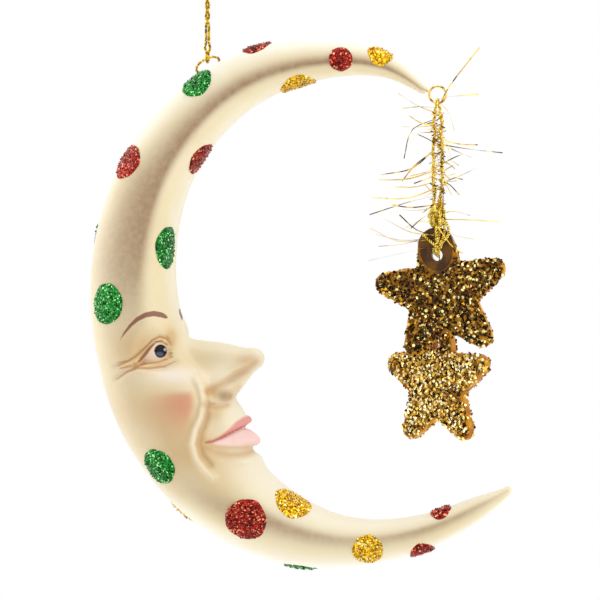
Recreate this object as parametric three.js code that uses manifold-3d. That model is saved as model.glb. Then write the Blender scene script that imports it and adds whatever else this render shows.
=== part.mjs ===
// A crescent moon ornament that hangs from a gold cord, with a face on its inner side, glitter
// dots, and two glitter stars on a tinsel string at its upper tip.
// Millimetres, +Z up. The face looks along +X, the moon's flat plane is XZ, and the origin is
// the top of the hanging loop, where a hook carries the ornament.
import * as THREE from "three";
import { mergeVertices } from "three/addons/utils/BufferGeometryUtils.js";
import Module from "manifold-3d";

const wasm = await Module();
wasm.setup();

// The moon casting: the outline is laid on a circle, and its belly is the widest place.
const MOON_RADIUS = 75;
const BELLY_WIDTH = 28.1;
const BELLY_DEPTH = 34;
const TIP_ROUNDING = 1.4;
// The face, from brow to chin, and how far the nose stands out of the crescent.
const FACE_HEIGHT = 44;
const NOSE_LENGTH = 18;
// The glitter dots: a thin skin laid on the casting.
const DOT_DIAMETER = 11;
const DOT_THICKNESS = 0.35;
// The screw eye that carries the moon and the small one at the upper tip.
const TOP_EYE_RADIUS = 3.7;
const TOP_EYE_WIRE = 0.85;
const TIP_EYE_RADIUS = 2.4;
const TIP_EYE_WIRE = 0.6;
// The gold hanging cord.
const CORD_DIAMETER = 0.8;
const CORD_DROP = 19;
const KNOT_RADIUS = 1.7;
const KNOT_HEIGHT = 4.2;
const LOOP_HEIGHT = 24;
const LOOP_WIDTH = 11;
// The tinsel string and its thin fibres.
const TINSEL_DIAMETER = 0.9;
const TINSEL_LENGTH = 43;
const TINSEL_SPREAD = 2.6;
const FIBRE_THICKNESS = 0.3;
const FIBRE_LENGTH = 14;
// The two stars, cut from clear plastic sheet.
const STAR_RADIUS = 19.6;
const STAR_WAIST = 10.4;
const STAR_TIP_ROUNDING = 3.1;
const STAR_THICKNESS = 2.4;
const LUG_WIDTH = 9;
const LUG_ABOVE_HOLE = 7.9;
const HOLE_ABOVE_MIDDLE = 11.1;
const LUG_HOLE = 3.2;
const LOWER_STAR_DROP = 25;
const LOWER_STAR_BACK = 10;
const LOWER_STAR_ASIDE = -1.5;
const LOWER_STAR_TURN = 32;
const UPPER_STAR_LEAN = 7.5;
const THREAD_DIAMETER = 0.5;
// The gap that touching pieces keep.
const GAP = 0.3;

const DEGREE = Math.PI / 180;

// Rows of the crescent: direction from its centre, then the middle line's radius, the width and
// the depth as shares of the moon's sizes, and where the widest line lies from the inner edge.
const CRESCENT = [
  { angle: 69.6, middle: 0.869, width: 0.107, depth: 0.094, ridge: 0.45 },
  { angle: 80, middle: 0.918, width: 0.246, depth: 0.212, ridge: 0.42 },
  { angle: 95, middle: 0.934, width: 0.402, depth: 0.347, ridge: 0.4 },
  { angle: 115, middle: 0.937, width: 0.569, depth: 0.506, ridge: 0.36 },
  { angle: 140, middle: 0.901, width: 0.712, depth: 0.694, ridge: 0.28 },
  { angle: 165, middle: 0.846, width: 0.829, depth: 0.871, ridge: 0.28 },
  { angle: 190, middle: 0.807, width: 0.929, depth: 0.976, ridge: 0.42 },
  { angle: 212, middle: 0.807, width: 1, depth: 1, ridge: 0.46 },
  { angle: 235, middle: 0.836, width: 0.94, depth: 0.882, ridge: 0.46 },
  { angle: 255, middle: 0.877, width: 0.73, depth: 0.659, ridge: 0.44 },
  { angle: 272, middle: 0.901, width: 0.505, depth: 0.447, ridge: 0.44 },
  { angle: 292, middle: 0.914, width: 0.345, depth: 0.288, ridge: 0.45 },
  { angle: 304, middle: 0.923, width: 0.242, depth: 0.2, ridge: 0.46 },
  { angle: 311.8, middle: 0.941, width: 0.1, depth: 0.088, ridge: 0.46 },
];
const UPPER_TIP = CRESCENT[0].angle;
const LOWER_TIP = CRESCENT.at(-1).angle;
const FACE_ANGLE = 207;

// A smooth curve through one column of a table, by its angle.
function along(table, column, angle) {
  const last = table.length - 1;
  const clamped = Math.min(Math.max(angle, table[0].angle), table[last].angle);
  let i = 0;
  while (i < last - 1 && clamped > table[i + 1].angle) i += 1;
  const slope = (k) => {
    const a = table[Math.max(k - 1, 0)];
    const b = table[Math.min(k + 1, last)];
    return (b[column] - a[column]) / (b.angle - a.angle);
  };
  const [p, q] = [table[i], table[i + 1]];
  const span = q.angle - p.angle;
  const t = (clamped - p.angle) / span;
  const rise = t * t * (3 - 2 * t);
  const start = t * (1 - t) * (1 - t) * span * slope(i);
  const end = t * t * (t - 1) * span * slope(i + 1);
  return p[column] + (q[column] - p[column]) * rise + start + end;
}

// One cross-section of the crescent: radius of its widest line, the reach outward and inward
// of that line, and half its depth.
function section(angle) {
  const middle = along(CRESCENT, "middle", angle) * MOON_RADIUS;
  const width = along(CRESCENT, "width", angle) * BELLY_WIDTH;
  const share = along(CRESCENT, "ridge", angle);
  return {
    ridge: middle + width * (share - 0.5),
    outward: width * (1 - share),
    inward: width * share,
    half: (along(CRESCENT, "depth", angle) * BELLY_DEPTH) / 2,
  };
}

// Distances are negative inside. The ellipsoid rule keeps them close to millimetres.
function ellipsoid(x, y, z, a, b, c) {
  const near = Math.hypot(x / a, y / b, z / c);
  const steep = Math.hypot(x / (a * a), y / (b * b), z / (c * c));
  return steep > 0 ? (near * (near - 1)) / steep : -Math.min(a, b, c);
}

// A bar with round ends whose radius changes from its start to its end.
function bar(p, from, to) {
  const axis = [to[0] - from[0], to[1] - from[1], to[2] - from[2]];
  const step = [p[0] - from[0], p[1] - from[1], p[2] - from[2]];
  const size = axis[0] ** 2 + axis[1] ** 2 + axis[2] ** 2;
  const dot = step[0] * axis[0] + step[1] * axis[1] + step[2] * axis[2];
  const t = Math.min(Math.max(dot / size, 0), 1);
  const away = Math.hypot(step[0] - axis[0] * t, step[1] - axis[1] * t, step[2] - axis[2] * t);
  return away - (from[3] + (to[3] - from[3]) * t);
}

// Joins two shapes with a soft fillet, or cuts the second out of the first.
function blend(a, b, soft) {
  const mix = Math.max(soft - Math.abs(a - b), 0) / soft;
  return Math.min(a, b) - (mix * mix * soft) / 4;
}
const carve = (a, b, soft) => -blend(-a, b, soft);

function crescentDistance(x, y, z) {
  let angle = Math.atan2(z, x) / DEGREE;
  if (angle < 0) angle += 360;
  if (angle < UPPER_TIP / 2) angle += 360;
  const inside = Math.min(Math.max(angle, UPPER_TIP), LOWER_TIP);
  const cut = section(inside);
  const turn = (angle - inside) * DEGREE;
  const radius = Math.hypot(x, z);
  const off = radius * Math.cos(turn) - cut.ridge;
  const past = radius * Math.sin(turn);
  return ellipsoid(off, y, past, off > 0 ? cut.outward : cut.inward, cut.half, TIP_ROUNDING);
}

// The face has its own place on the inner side: forward along +X, side along Y and up along Z.
function facePlace() {
  const cut = section(FACE_ANGLE);
  const radius = cut.ridge - cut.inward;
  const [cos, sin] = [Math.cos(FACE_ANGLE * DEGREE), Math.sin(FACE_ANGLE * DEGREE)];
  return { x: radius * cos, z: radius * sin, size: FACE_HEIGHT / 44, reach: NOSE_LENGTH / 18 };
}
const FACE = facePlace();

function noseDistance(p, reach) {
  const tip = 14.6 * reach;
  const bridge = bar(p, [-6, 0, 8.9, 3.9], [tip, 0, 5.3, 3.4]);
  const under = bar(p, [tip - 0.4, 0, 5, 3], [7.4, 0, -3.4, 2.4]);
  const fill = ellipsoid(p[0] - 4.5, p[1], p[2] - 2.4, 7.5, 5, 6);
  const wing = ellipsoid(p[0] - 5, p[1] - 4.5, p[2] + 3.4, 4.4, 2.5, 3.3);
  const nostril = ellipsoid(p[0] - 7.2, p[1] - 3.6, p[2] + 5.6, 1.7, 1.2, 2);
  return carve(blend(blend(blend(bridge, under, 3), fill, 4), wing, 2), nostril, 1.4);
}

function mouthDistance(p) {
  const muzzle = ellipsoid(p[0] - 4.4, p[1], p[2] + 13.4, 8.8, 10.8, 9);
  const upperMiddle = bar(p, [12.9, 0, -11.9, 1.6], [9.4, 5.4, -13.9, 1.3]);
  const upperCorner = bar(p, [9.4, 5.4, -13.9, 1.3], [3.9, 9.6, -17.3, 0.6]);
  const lowerMiddle = bar(p, [15.1, 0, -17.1, 2], [10.8, 5.8, -17.6, 1.6]);
  const lowerCorner = bar(p, [10.8, 5.8, -17.6, 1.6], [4.2, 9.7, -18.2, 0.6]);
  const chin = ellipsoid(p[0] - 11.4, p[1], p[2] + 24.6, 6.4, 8.6, 5.6);
  const lips = Math.min(upperMiddle, upperCorner, lowerMiddle, lowerCorner);
  return blend(blend(muzzle, chin, 4), lips, 1.1);
}

function cheekDistance(p) {
  return ellipsoid(p[0] + 4.4, p[1] - 8.6, p[2] + 4.6, 7.4, 7.2, 9.8);
}

function eyeDistance(skin, p) {
  const brow = bar(p, [-8.4, 3, 13.6, 2.6], [-13.4, 10.4, 13.4, 3]);
  const socket = ellipsoid(p[0] + 8.4, p[1] - 15, p[2] - 8.4, 6.4, 3.6, 4.6);
  const ball = ellipsoid(p[0] + 11, p[1] - 8.6, p[2] - 6.8, 5.4, 5.2, 3.6);
  return blend(carve(blend(skin, brow, 4), socket, 4), ball, 1.4);
}

// The whole casting, about the crescent's centre.
function moonDistance(x, y, z) {
  const p = [(x - FACE.x) / FACE.size, Math.abs(y) / FACE.size, (z - FACE.z) / FACE.size];
  const body = crescentDistance(x, y, z) / FACE.size;
  if (p[0] < -26 || p[0] > 34 || p[2] < -42 || p[2] > 28) return body * FACE.size;
  const cheeked = blend(body, cheekDistance(p), 4);
  const spoken = blend(cheeked, mouthDistance(p), 2.2);
  const seeing = eyeDistance(spoken, p);
  return blend(seeing, noseDistance(p, FACE.reach), 3) * FACE.size;
}

// Where a ray that starts inside the casting first comes out of it.
function castRay(from, way) {
  const at = (r) => moonDistance(from[0] + way[0] * r, from[1] + way[1] * r, from[2] + way[2] * r);
  const step = 0.4;
  let high = step;
  while (high < BELLY_DEPTH && at(high) < 0) high += step;
  let low = high - step;
  for (let i = 0; i < 16; i += 1) {
    const half = (low + high) / 2;
    if (at(half) < 0) low = half;
    else high = half;
  }
  return [from[0] + way[0] * low, from[1] + way[1] * low, from[2] + way[2] * low];
}

// Inner ends of the rays: a line inside the face, from the brow down the nose and lips, with the
// way the face looks there, in degrees above level.
const FACE_CORE = [
  { angle: 184, forward: -9.6, up: 13.2, tilt: 4 },
  { angle: 187, forward: -8, up: 10.5, tilt: 25 },
  { angle: 189, forward: -4.5, up: 8.8, tilt: 65 },
  { angle: 192, forward: 3, up: 7, tilt: 80 },
  { angle: 195, forward: 9.5, up: 6, tilt: 78 },
  { angle: 197, forward: 13.6, up: 5.4, tilt: 50 },
  { angle: 198.5, forward: 14.6, up: 5.1, tilt: 5 },
  { angle: 200, forward: 13.8, up: 3.6, tilt: -35 },
  { angle: 203, forward: 10.2, up: -0.6, tilt: -42 },
  { angle: 206, forward: 7.6, up: -3.6, tilt: -25 },
  { angle: 209, forward: 6.6, up: -6.2, tilt: 0 },
  { angle: 212, forward: 8, up: -8.6, tilt: 18 },
  { angle: 216, forward: 11.6, up: -11.4, tilt: 25 },
  { angle: 220, forward: 10.6, up: -14.2, tilt: 0 },
  { angle: 223, forward: 14.2, up: -16.4, tilt: 20 },
  { angle: 226, forward: 14.6, up: -17.6, tilt: -10 },
  { angle: 229, forward: 12.4, up: -20, tilt: -8 },
  { angle: 233, forward: 12.2, up: -22.8, tilt: 15 },
  { angle: 238, forward: 12.8, up: -26, tilt: 32 },
  { angle: 246, forward: 16.2, up: -33, tilt: 66 },
];
const FACE_TOP = FACE_CORE[0].angle;
const FACE_END = FACE_CORE.at(-1).angle;

// The core of one section, from which its rays start: its outer end, its bend at the crescent's
// own inner side, its inner end, and the way that the section looks there.
function core(angle) {
  const cut = section(angle);
  const [c, s] = [Math.cos(angle * DEGREE), Math.sin(angle * DEGREE)];
  const onLine = (share) => {
    const radius = cut.ridge + share * (share > 0 ? cut.outward : cut.inward);
    return [radius * c, 0, radius * s];
  };
  const rise = (from, to) => Math.min(Math.max((angle - from) / (to - from), 0), 1);
  const near = Math.min(rise(168, 188), 1 - rise(242, 258));
  const ends = { outer: onLine(0.3), bend: onLine(0.02 - 0.67 * near), away: [c, 0, s] };
  if (angle < FACE_TOP || angle > FACE_END) {
    return { ...ends, inner: onLine(-0.2 - 0.53 * near), inward: [-c, 0, -s] };
  }
  const forward = along(FACE_CORE, "forward", angle) * FACE.size;
  const up = along(FACE_CORE, "up", angle) * FACE.size;
  const tilt = along(FACE_CORE, "tilt", angle) * DEGREE;
  const reach = forward > 0 && up > 0 ? FACE.reach : 1;
  const inner = [FACE.x + forward * reach, 0, FACE.z + up];
  return { ...ends, inner, inward: [Math.cos(tilt), 0, Math.sin(tilt)] };
}

const OUTER_RAYS = 8;
const BODY_RAYS = 8;
const FACE_RAYS = 8;
const INNER_RAYS = 7;

// Starts and directions of the rays round one section: outer arc, near side, inner arc, far side.
function sectionRays(angle) {
  const { outer, bend, inner, away, inward } = core(angle);
  const rays = [];
  const fan = (start, middle, from, count) => {
    for (let i = 0; i < count; i += 1) {
      const t = (from + (180 * i) / count) * DEGREE;
      rays.push([start, [middle[0] * Math.cos(t), Math.sin(t), middle[2] * Math.cos(t)]]);
    }
  };
  const side = (way, start, end, count) => {
    for (let i = 0; i < count; i += 1) {
      rays.push([start.map((value, k) => value + ((end[k] - value) * i) / count), [0, way, 0]]);
    }
  };
  fan(outer, away.map((value) => -value), 90, OUTER_RAYS);
  side(-1, outer, bend, BODY_RAYS);
  side(-1, bend, inner, FACE_RAYS);
  fan(inner, inward, -90, INNER_RAYS);
  side(1, inner, bend, FACE_RAYS);
  side(1, bend, outer, BODY_RAYS);
  return rays;
}

// Angles of the rows: close together on the face, wider along the horns.
function rowAngles() {
  const rows = [];
  const run = (from, to, step) => {
    const count = Math.ceil((to - from) / step);
    for (let i = 0; i < count; i += 1) rows.push(from + ((to - from) * i) / count);
  };
  run(UPPER_TIP, 100, 5.5);
  run(100, 176, 6.4);
  run(176, 186, 2.2);
  run(186, 206, 1.2);
  run(206, 234, 1.4);
  run(234, 250, 2.6);
  run(250, LOWER_TIP, 6.2);
  rows.push(LOWER_TIP);
  return rows;
}

function closeLoops(loops, startPole, endPole) {
  const count = loops[0].length;
  const points = loops.flat();
  const faces = [];
  for (let row = 0; row + 1 < loops.length; row += 1) {
    for (let i = 0; i < count; i += 1) {
      const [a, b] = [row * count + i, row * count + ((i + 1) % count)];
      faces.push(a, b, b + count, a, b + count, a + count);
    }
  }
  const first = points.length;
  points.push(startPole, endPole);
  const lastRow = (loops.length - 1) * count;
  for (let i = 0; i < count; i += 1) {
    const next = (i + 1) % count;
    faces.push(first, next, i, first + 1, lastRow + i, lastRow + next);
  }
  return facingOut(points, faces);
}

// A geometry from points and triangles, turned so that it encloses a positive volume.
function facingOut(points, faces) {
  let volume = 0;
  for (let i = 0; i < faces.length; i += 3) {
    const [a, b, c] = [points[faces[i]], points[faces[i + 1]], points[faces[i + 2]]];
    volume += a[0] * (b[1] * c[2] - b[2] * c[1]) - a[1] * (b[0] * c[2] - b[2] * c[0]);
    volume += a[2] * (b[0] * c[1] - b[1] * c[0]);
  }
  if (volume < 0) for (let i = 0; i < faces.length; i += 3) faces.splice(i, 2, faces[i + 1], faces[i]);
  const geometry = new THREE.BufferGeometry();
  geometry.setAttribute("position", new THREE.Float32BufferAttribute(points.flat(), 3));
  geometry.setIndex(faces);
  return geometry;
}

function moonGeometry() {
  const rows = rowAngles();
  const loops = rows.map((angle) => sectionRays(angle).map(([from, way]) => castRay(from, way)));
  // A horn ends in a small dome: rays lean out of the last section, then one goes straight on.
  const lean = (angle, sign, tilt) => {
    const t = angle * DEGREE;
    const out = [-Math.sin(t) * sign, 0, Math.cos(t) * sign];
    const [c, s] = [Math.cos(tilt * DEGREE), Math.sin(tilt * DEGREE)];
    return ([from, way]) => castRay(from, way.map((value, k) => value * c + out[k] * s));
  };
  const dome = (angle, sign) => [35, 65].map((tilt) => sectionRays(angle).map(lean(angle, sign, tilt)));
  const pole = (angle, sign) => lean(angle, sign, 90)([core(angle).inner, [1, 0, 0]]);
  const all = [...dome(UPPER_TIP, -1).reverse(), ...loops, ...dome(LOWER_TIP, 1)];
  return closeLoops(all, pole(UPPER_TIP, -1), pole(LOWER_TIP, 1));
}

// A place on the casting: the crescent's direction, and the turn round the section from the
// outer edge, positive towards the near side, -Y.
function onMoon(angle, around) {
  const cut = section(angle);
  const start = [cut.ridge * Math.cos(angle * DEGREE), 0, cut.ridge * Math.sin(angle * DEGREE)];
  const [c, s] = [Math.cos(around * DEGREE), Math.sin(around * DEGREE)];
  const way = [Math.cos(angle * DEGREE) * c, -s, Math.sin(angle * DEGREE) * c];
  return castRay(start, way);
}

function normalAt(p) {
  const h = 0.05;
  const slope = [0, 1, 2].map((k) => {
    const [a, b] = [[...p], [...p]];
    a[k] -= h;
    b[k] += h;
    return moonDistance(...b) - moonDistance(...a);
  });
  return new THREE.Vector3(...slope).normalize();
}

// The point above or below q, along n, where the distance to the casting is the given height.
function atHeight(q, n, height) {
  let t = 0;
  for (let i = 0; i < 14; i += 1) t -= moonDistance(q.x + n.x * t, q.y + n.y * t, q.z + n.z * t) - height;
  return [q.x + n.x * t, q.y + n.y * t, q.z + n.z * t];
}

const DOT_SIDES = 14;

function dotGeometry(angle, around, size) {
  const middle = onMoon(angle, around);
  const n = normalAt(middle);
  const e = new THREE.Vector3(0, 1, 0).cross(n).normalize();
  if (e.lengthSq() < 0.5) e.set(1, 0, 0);
  const f = n.clone().cross(e);
  const ring = (radius, height) => {
    const loop = [];
    for (let i = 0; i < DOT_SIDES; i += 1) {
      const t = (2 * Math.PI * i) / DOT_SIDES;
      const q = new THREE.Vector3(...middle);
      q.addScaledVector(e, radius * Math.cos(t)).addScaledVector(f, radius * Math.sin(t));
      loop.push(atHeight(q, n, height));
    }
    return loop;
  };
  const radius = (DOT_DIAMETER * size) / 2;
  const [low, high] = [GAP, GAP + DOT_THICKNESS];
  const layers = [ring(radius * 0.55, low), ring(radius, low), ring(radius, high), ring(radius * 0.55, high)];
  const centre = new THREE.Vector3(...middle);
  return closeLoops(layers, atHeight(centre, n, low), atHeight(centre, n, high));
}

// A round bar along a list of points, closed at both ends.
function tube(points, diameter, sides, steps, closed = false) {
  const curve = new THREE.CatmullRomCurve3(points.map((p) => new THREE.Vector3(...p)), closed);
  const round = new THREE.Shape();
  for (let i = 0; i < sides; i += 1) {
    const t = (2 * Math.PI * i) / sides;
    const place = [(diameter / 2) * Math.cos(t), (diameter / 2) * Math.sin(t)];
    if (i === 0) round.moveTo(...place);
    else round.lineTo(...place);
  }
  return new THREE.ExtrudeGeometry(round, { steps, extrudePath: curve, curveSegments: 1 });
}

// Solids for joining and cutting.
function solid(geometry) {
  const bare = geometry.clone();
  for (const name of Object.keys(bare.attributes)) if (name !== "position") bare.deleteAttribute(name);
  const merged = mergeVertices(bare, 1e-4);
  const vertProperties = new Float32Array(merged.attributes.position.array);
  const triVerts = new Uint32Array(merged.index.array);
  return new wasm.Manifold(new wasm.Mesh({ numProp: 3, vertProperties, triVerts }));
}

function fromSolid(body) {
  const mesh = body.getMesh();
  const geometry = new THREE.BufferGeometry();
  geometry.setAttribute("position", new THREE.Float32BufferAttribute(mesh.vertProperties, 3));
  geometry.setIndex(new THREE.Uint32BufferAttribute(mesh.triVerts, 1));
  return geometry;
}

// A ring of wire that lies in the plane of two directions.
function wireRing(radius, wire, across, up) {
  const x = new THREE.Vector3(...across).normalize();
  const z = x.clone().cross(new THREE.Vector3(...up)).normalize();
  const turn = new THREE.Matrix4().makeBasis(x, z.clone().cross(x), z);
  return new THREE.TorusGeometry(radius, wire / 2, 6, 24).applyMatrix4(turn);
}

// A straight round pin from one point to another.
function pin(from, to, diameter) {
  const [a, b] = [new THREE.Vector3(...from), new THREE.Vector3(...to)];
  const geometry = new THREE.CylinderGeometry(diameter / 2, diameter / 2, a.distanceTo(b), 8);
  const turn = new THREE.Quaternion().setFromUnitVectors(
    new THREE.Vector3(0, 1, 0), b.clone().sub(a).normalize());
  const middle = a.clone().add(b).multiplyScalar(0.5);
  return geometry.applyQuaternion(turn).translate(middle.x, middle.y, middle.z);
}

// The top eye stands on the outer edge and leans over it, as its pull sets it.
const EYE_ANGLE = 123.6;
const EYE_LEAN = 32 * DEGREE;
const EYE_ACROSS = [Math.cos(EYE_LEAN), 0, Math.sin(EYE_LEAN)];
const EYE_UP = [-Math.sin(EYE_LEAN) * 0.37, -0.93, Math.cos(EYE_LEAN) * 0.37];
const BEARING_TURN = 65 * DEGREE;

function eyePlaces() {
  const foot = onMoon(EYE_ANGLE, 0);
  const rise = TOP_EYE_RADIUS * 0.92;
  const bearing = [0, 1, 2].map((k) => TOP_EYE_RADIUS
    * (Math.cos(BEARING_TURN) * EYE_ACROSS[k] + Math.sin(BEARING_TURN) * EYE_UP[k]));
  const centre = [foot[0] + TOP_EYE_RADIUS * 0.78, -bearing[1], foot[2] + rise];
  return { centre, bearing: bearing.map((value, k) => value + centre[k]) };
}
const EYE = eyePlaces();

function topEyeGeometry() {
  const ring = wireRing(TOP_EYE_RADIUS, TOP_EYE_WIRE, EYE_ACROSS, EYE_UP);
  ring.translate(...EYE.centre);
  const top = EYE.centre.map((value, k) => value - TOP_EYE_RADIUS * EYE_ACROSS[k]);
  const out = new THREE.Vector3(Math.cos(EYE_ANGLE * DEGREE), 0, Math.sin(EYE_ANGLE * DEGREE));
  const foot = atHeight(new THREE.Vector3(...top), out, GAP);
  return fromSolid(solid(ring).add(solid(pin(foot, top, TOP_EYE_WIRE))));
}

// The tip eye carries on from the upper horn, in the moon's plane.
function tipPlaces() {
  const t = UPPER_TIP * DEGREE;
  const way = [Math.sin(t), 0, -Math.cos(t)];
  const end = castRay([section(UPPER_TIP).ridge * Math.cos(t), 0, section(UPPER_TIP).ridge * Math.sin(t)], way);
  const reach = GAP + TIP_EYE_WIRE + TIP_EYE_RADIUS;
  const centre = end.map((value, k) => value + way[k] * reach);
  const seat = end.map((value, k) => value + way[k] * GAP);
  return { centre, seat, bearing: [centre[0], 0, centre[2] - TIP_EYE_RADIUS] };
}
const TIP = tipPlaces();

function tipEyeGeometry() {
  const ring = wireRing(TIP_EYE_RADIUS, TIP_EYE_WIRE, [1, 0, 0], [0, 0, 1]).translate(...TIP.centre);
  const [cx, , cz] = TIP.centre;
  const [sx, , sz] = TIP.seat;
  const share = TIP_EYE_RADIUS / Math.hypot(sx - cx, sz - cz);
  const inner = [cx + (sx - cx) * share, 0, cz + (sz - cz) * share];
  return fromSolid(solid(ring).add(solid(pin(TIP.seat, inner, TIP_EYE_WIRE))));
}

// The gold cord is doubled: it comes down from the knot, goes round the eye's wire and back up,
// its two runs twisted together above. Points are about the bearing on the eye.
const TURN_START = 9;
const SIDE_BY_SIDE = 3;
const TWIST_PITCH = 6;

function hangingCordPoints() {
  const near = CORD_DIAMETER / 2 + 0.2;
  const wide = (TOP_EYE_WIRE + CORD_DIAMETER) / 2 + GAP + 0.05;
  const at = (z) => {
    const twist = z > TURN_START ? (360 * (z - TURN_START)) / TWIST_PITCH : 0;
    const part = Math.min(Math.max((SIDE_BY_SIDE - z) / SIDE_BY_SIDE, 0), 1);
    const angle = (180 + twist + 90 * part) * DEGREE;
    const radius = near + (wide - near) * part;
    return [radius * Math.cos(angle), radius * Math.sin(angle), z];
  };
  const run = [];
  for (let z = CORD_DROP - GAP; z > TURN_START; z -= 0.75) run.push(at(z));
  for (const z of [TURN_START, 7, 5, SIDE_BY_SIDE, 1.5, 0.3]) run.push(at(z));
  const bight = [[0, -wide * 0.75, -wide * 0.7], [0, 0, -wide], [0, wide * 0.75, -wide * 0.7]];
  const back = run.map(([x, y, z]) => [-x, -y, z]).reverse();
  return [...run, ...bight, ...back];
}

function knotGeometry() {
  const profile = [[0, -1], [0.55, -0.93], [0.95, -0.55], [0.86, -0.12], [1, 0.25], [0.8, 0.75], [0.4, 1], [0, 1]];
  const points = profile.map(([r, z]) => new THREE.Vector2(r * KNOT_RADIUS, (z * KNOT_HEIGHT) / 2));
  return new THREE.LatheGeometry(points, 16).rotateX(Math.PI / 2);
}

// The loop that goes over a hook: a long drop shape above the knot.
function loopPoints() {
  const low = GAP - LOOP_HEIGHT;
  const half = LOOP_WIDTH / 2;
  const side = [[0.6, low], [0.9, low + 3], [half * 0.72, low + LOOP_HEIGHT * 0.42],
    [half, low + LOOP_HEIGHT * 0.72], [half * 0.62, CORD_DIAMETER / 2 - 1]];
  const right = side.map(([x, z]) => [x, 0, z]);
  const left = side.map(([x, z]) => [-x, 0, z]).reverse();
  return [...right, [0, 0, CORD_DIAMETER / 2], ...left];
}

// The tinsel string is doubled too: round the tip eye, open at a small ring, then two runs
// pinched at a second small ring. Points are about the bearing on the tip eye.
const TINSEL_RUN_END = TINSEL_LENGTH * 0.62;

function tinselPoints() {
  const wide = (TIP_EYE_WIRE + TINSEL_DIAMETER) / 2 + GAP + 0.05;
  const pinch = TINSEL_DIAMETER / 2 + 0.22;
  const spread = TINSEL_SPREAD / 2;
  const side = [[pinch, 0, -TINSEL_RUN_END - 3.2], [pinch, 0, -TINSEL_RUN_END - 2.6],
    [1.15, 0, -TINSEL_RUN_END - 1.2], [pinch + 0.1, 0, -TINSEL_RUN_END + 0.4],
    [spread, 0, -TINSEL_RUN_END + 4], [spread * 0.9, 0.3, -TINSEL_RUN_END * 0.62],
    [spread, -0.2, -TINSEL_RUN_END * 0.42], [pinch + 0.1, 0, -7.6], [1.3, 0, -5.6],
    [pinch, 0, -3.4], [pinch * 0.8, wide * 0.6, -1.6], [0, wide, 0.1], [0, wide * 0.75, wide * 0.75]];
  const other = side.map(([x, y, z]) => [-x, -y, z]).reverse();
  return [...side, [0, 0, wide], ...other];
}

// Flat gold fibres stand out of the string all round, most of them near level.
function fibreSolids() {
  const fibres = [];
  const count = 26;
  for (let i = 0; i < count; i += 1) {
    const height = -6 - ((TINSEL_RUN_END - 5) * i) / (count - 1);
    const way = ((i * 137.5) % 360) * DEGREE;
    const length = FIBRE_LENGTH * (0.75 + 0.25 * Math.sin(i * 2.4));
    const lift = 0.25 * Math.sin(i * 1.7);
    const side = i % 2 === 0 ? 1 : -1;
    const start = [(side * TINSEL_SPREAD) / 2, 0, height];
    const reach = (t, sink) => [start[0] + length * t * Math.abs(Math.cos(way)) * side,
      length * t * Math.sin(way) * 0.8, height + length * (lift * t - sink * t * t)];
    fibres.push(tube([start, reach(0.5, 0.15), reach(1, 0.15)], FIBRE_THICKNESS, 3, 4));
  }
  return fibres;
}

function tinselGeometry() {
  let body = solid(tube(tinselPoints(), TINSEL_DIAMETER, 6, 66));
  for (const fibre of fibreSolids()) body = body.add(solid(fibre));
  const parts = body.decompose().sort((a, b) => b.volume() - a.volume());
  return fromSolid(parts[0]);
}

const WRAP_TOP = LUG_ABOVE_HOLE + GAP + 0.1 + TINSEL_DIAMETER / 2;

function bundleGeometry() {
  const height = TINSEL_LENGTH - WRAP_TOP - TINSEL_RUN_END - 3.2 - 3 * GAP;
  const profile = [[0, -1], [0.6, -0.85], [1, -0.2], [0.85, 0.45], [0.45, 1], [0, 1]];
  const points = profile.map(([r, z]) => new THREE.Vector2(r * 2.1, (z * height) / 2));
  return { geometry: new THREE.LatheGeometry(points, 12).rotateX(Math.PI / 2), height };
}

// The string's end goes over a star's lug and through its hole, as a closed loop about the hole.
function wrapGeometry(diameter) {
  const out = STAR_THICKNESS / 2 + GAP + 0.1 + diameter / 2;
  const top = LUG_ABOVE_HOLE + GAP + 0.1 + diameter / 2;
  const points = [[0, 0, 0], [0, -out * 0.8, 0.35], [0, -out, top * 0.3], [0, -out, top * 0.62],
    [0, -out * 0.72, top * 0.94], [0, 0, top], [0, out * 0.72, top * 0.94], [0, out, top * 0.62],
    [0, out, top * 0.3], [0, out * 0.8, 0.35]];
  return tube(points, diameter, 6, 24, true);
}

// A five-armed star with rounded tips, and a lug with a hole in place of its top arm.
function starOutline() {
  const shape = new THREE.Shape();
  const polar = (radius, degrees) => [radius * Math.cos(degrees * DEGREE), radius * Math.sin(degrees * DEGREE)];
  const roundAt = STAR_RADIUS - STAR_TIP_ROUNDING;
  const start = polar(STAR_WAIST, 54);
  shape.moveTo(...start);
  for (let arm = 1; arm < 5; arm += 1) {
    const middle = 90 - 72 * arm;
    const [cx, cy] = polar(roundAt, middle);
    shape.absarc(cx, cy, STAR_TIP_ROUNDING, (middle + 78) * DEGREE, (middle - 78) * DEGREE, true);
    shape.lineTo(...polar(STAR_WAIST, middle - 36));
  }
  const half = LUG_WIDTH / 2;
  const lugRound = HOLE_ABOVE_MIDDLE + LUG_ABOVE_HOLE - half;
  shape.lineTo(-half, lugRound);
  shape.absarc(0, lugRound, half, Math.PI, 0, true);
  const hole = new THREE.Path();
  hole.absarc(0, HOLE_ABOVE_MIDDLE, LUG_HOLE / 2, 0, 2 * Math.PI, false);
  shape.holes.push(hole);
  return shape;
}

function starGeometry() {
  const bevel = 0.35;
  const geometry = new THREE.ExtrudeGeometry(starOutline(), {
    depth: STAR_THICKNESS - 2 * bevel, steps: 1, curveSegments: 7,
    bevelEnabled: true, bevelThickness: bevel, bevelSize: bevel, bevelOffset: -bevel, bevelSegments: 1,
  });
  return geometry.translate(0, -HOLE_ABOVE_MIDDLE, -STAR_THICKNESS / 2 + bevel).rotateX(Math.PI / 2);
}

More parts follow.
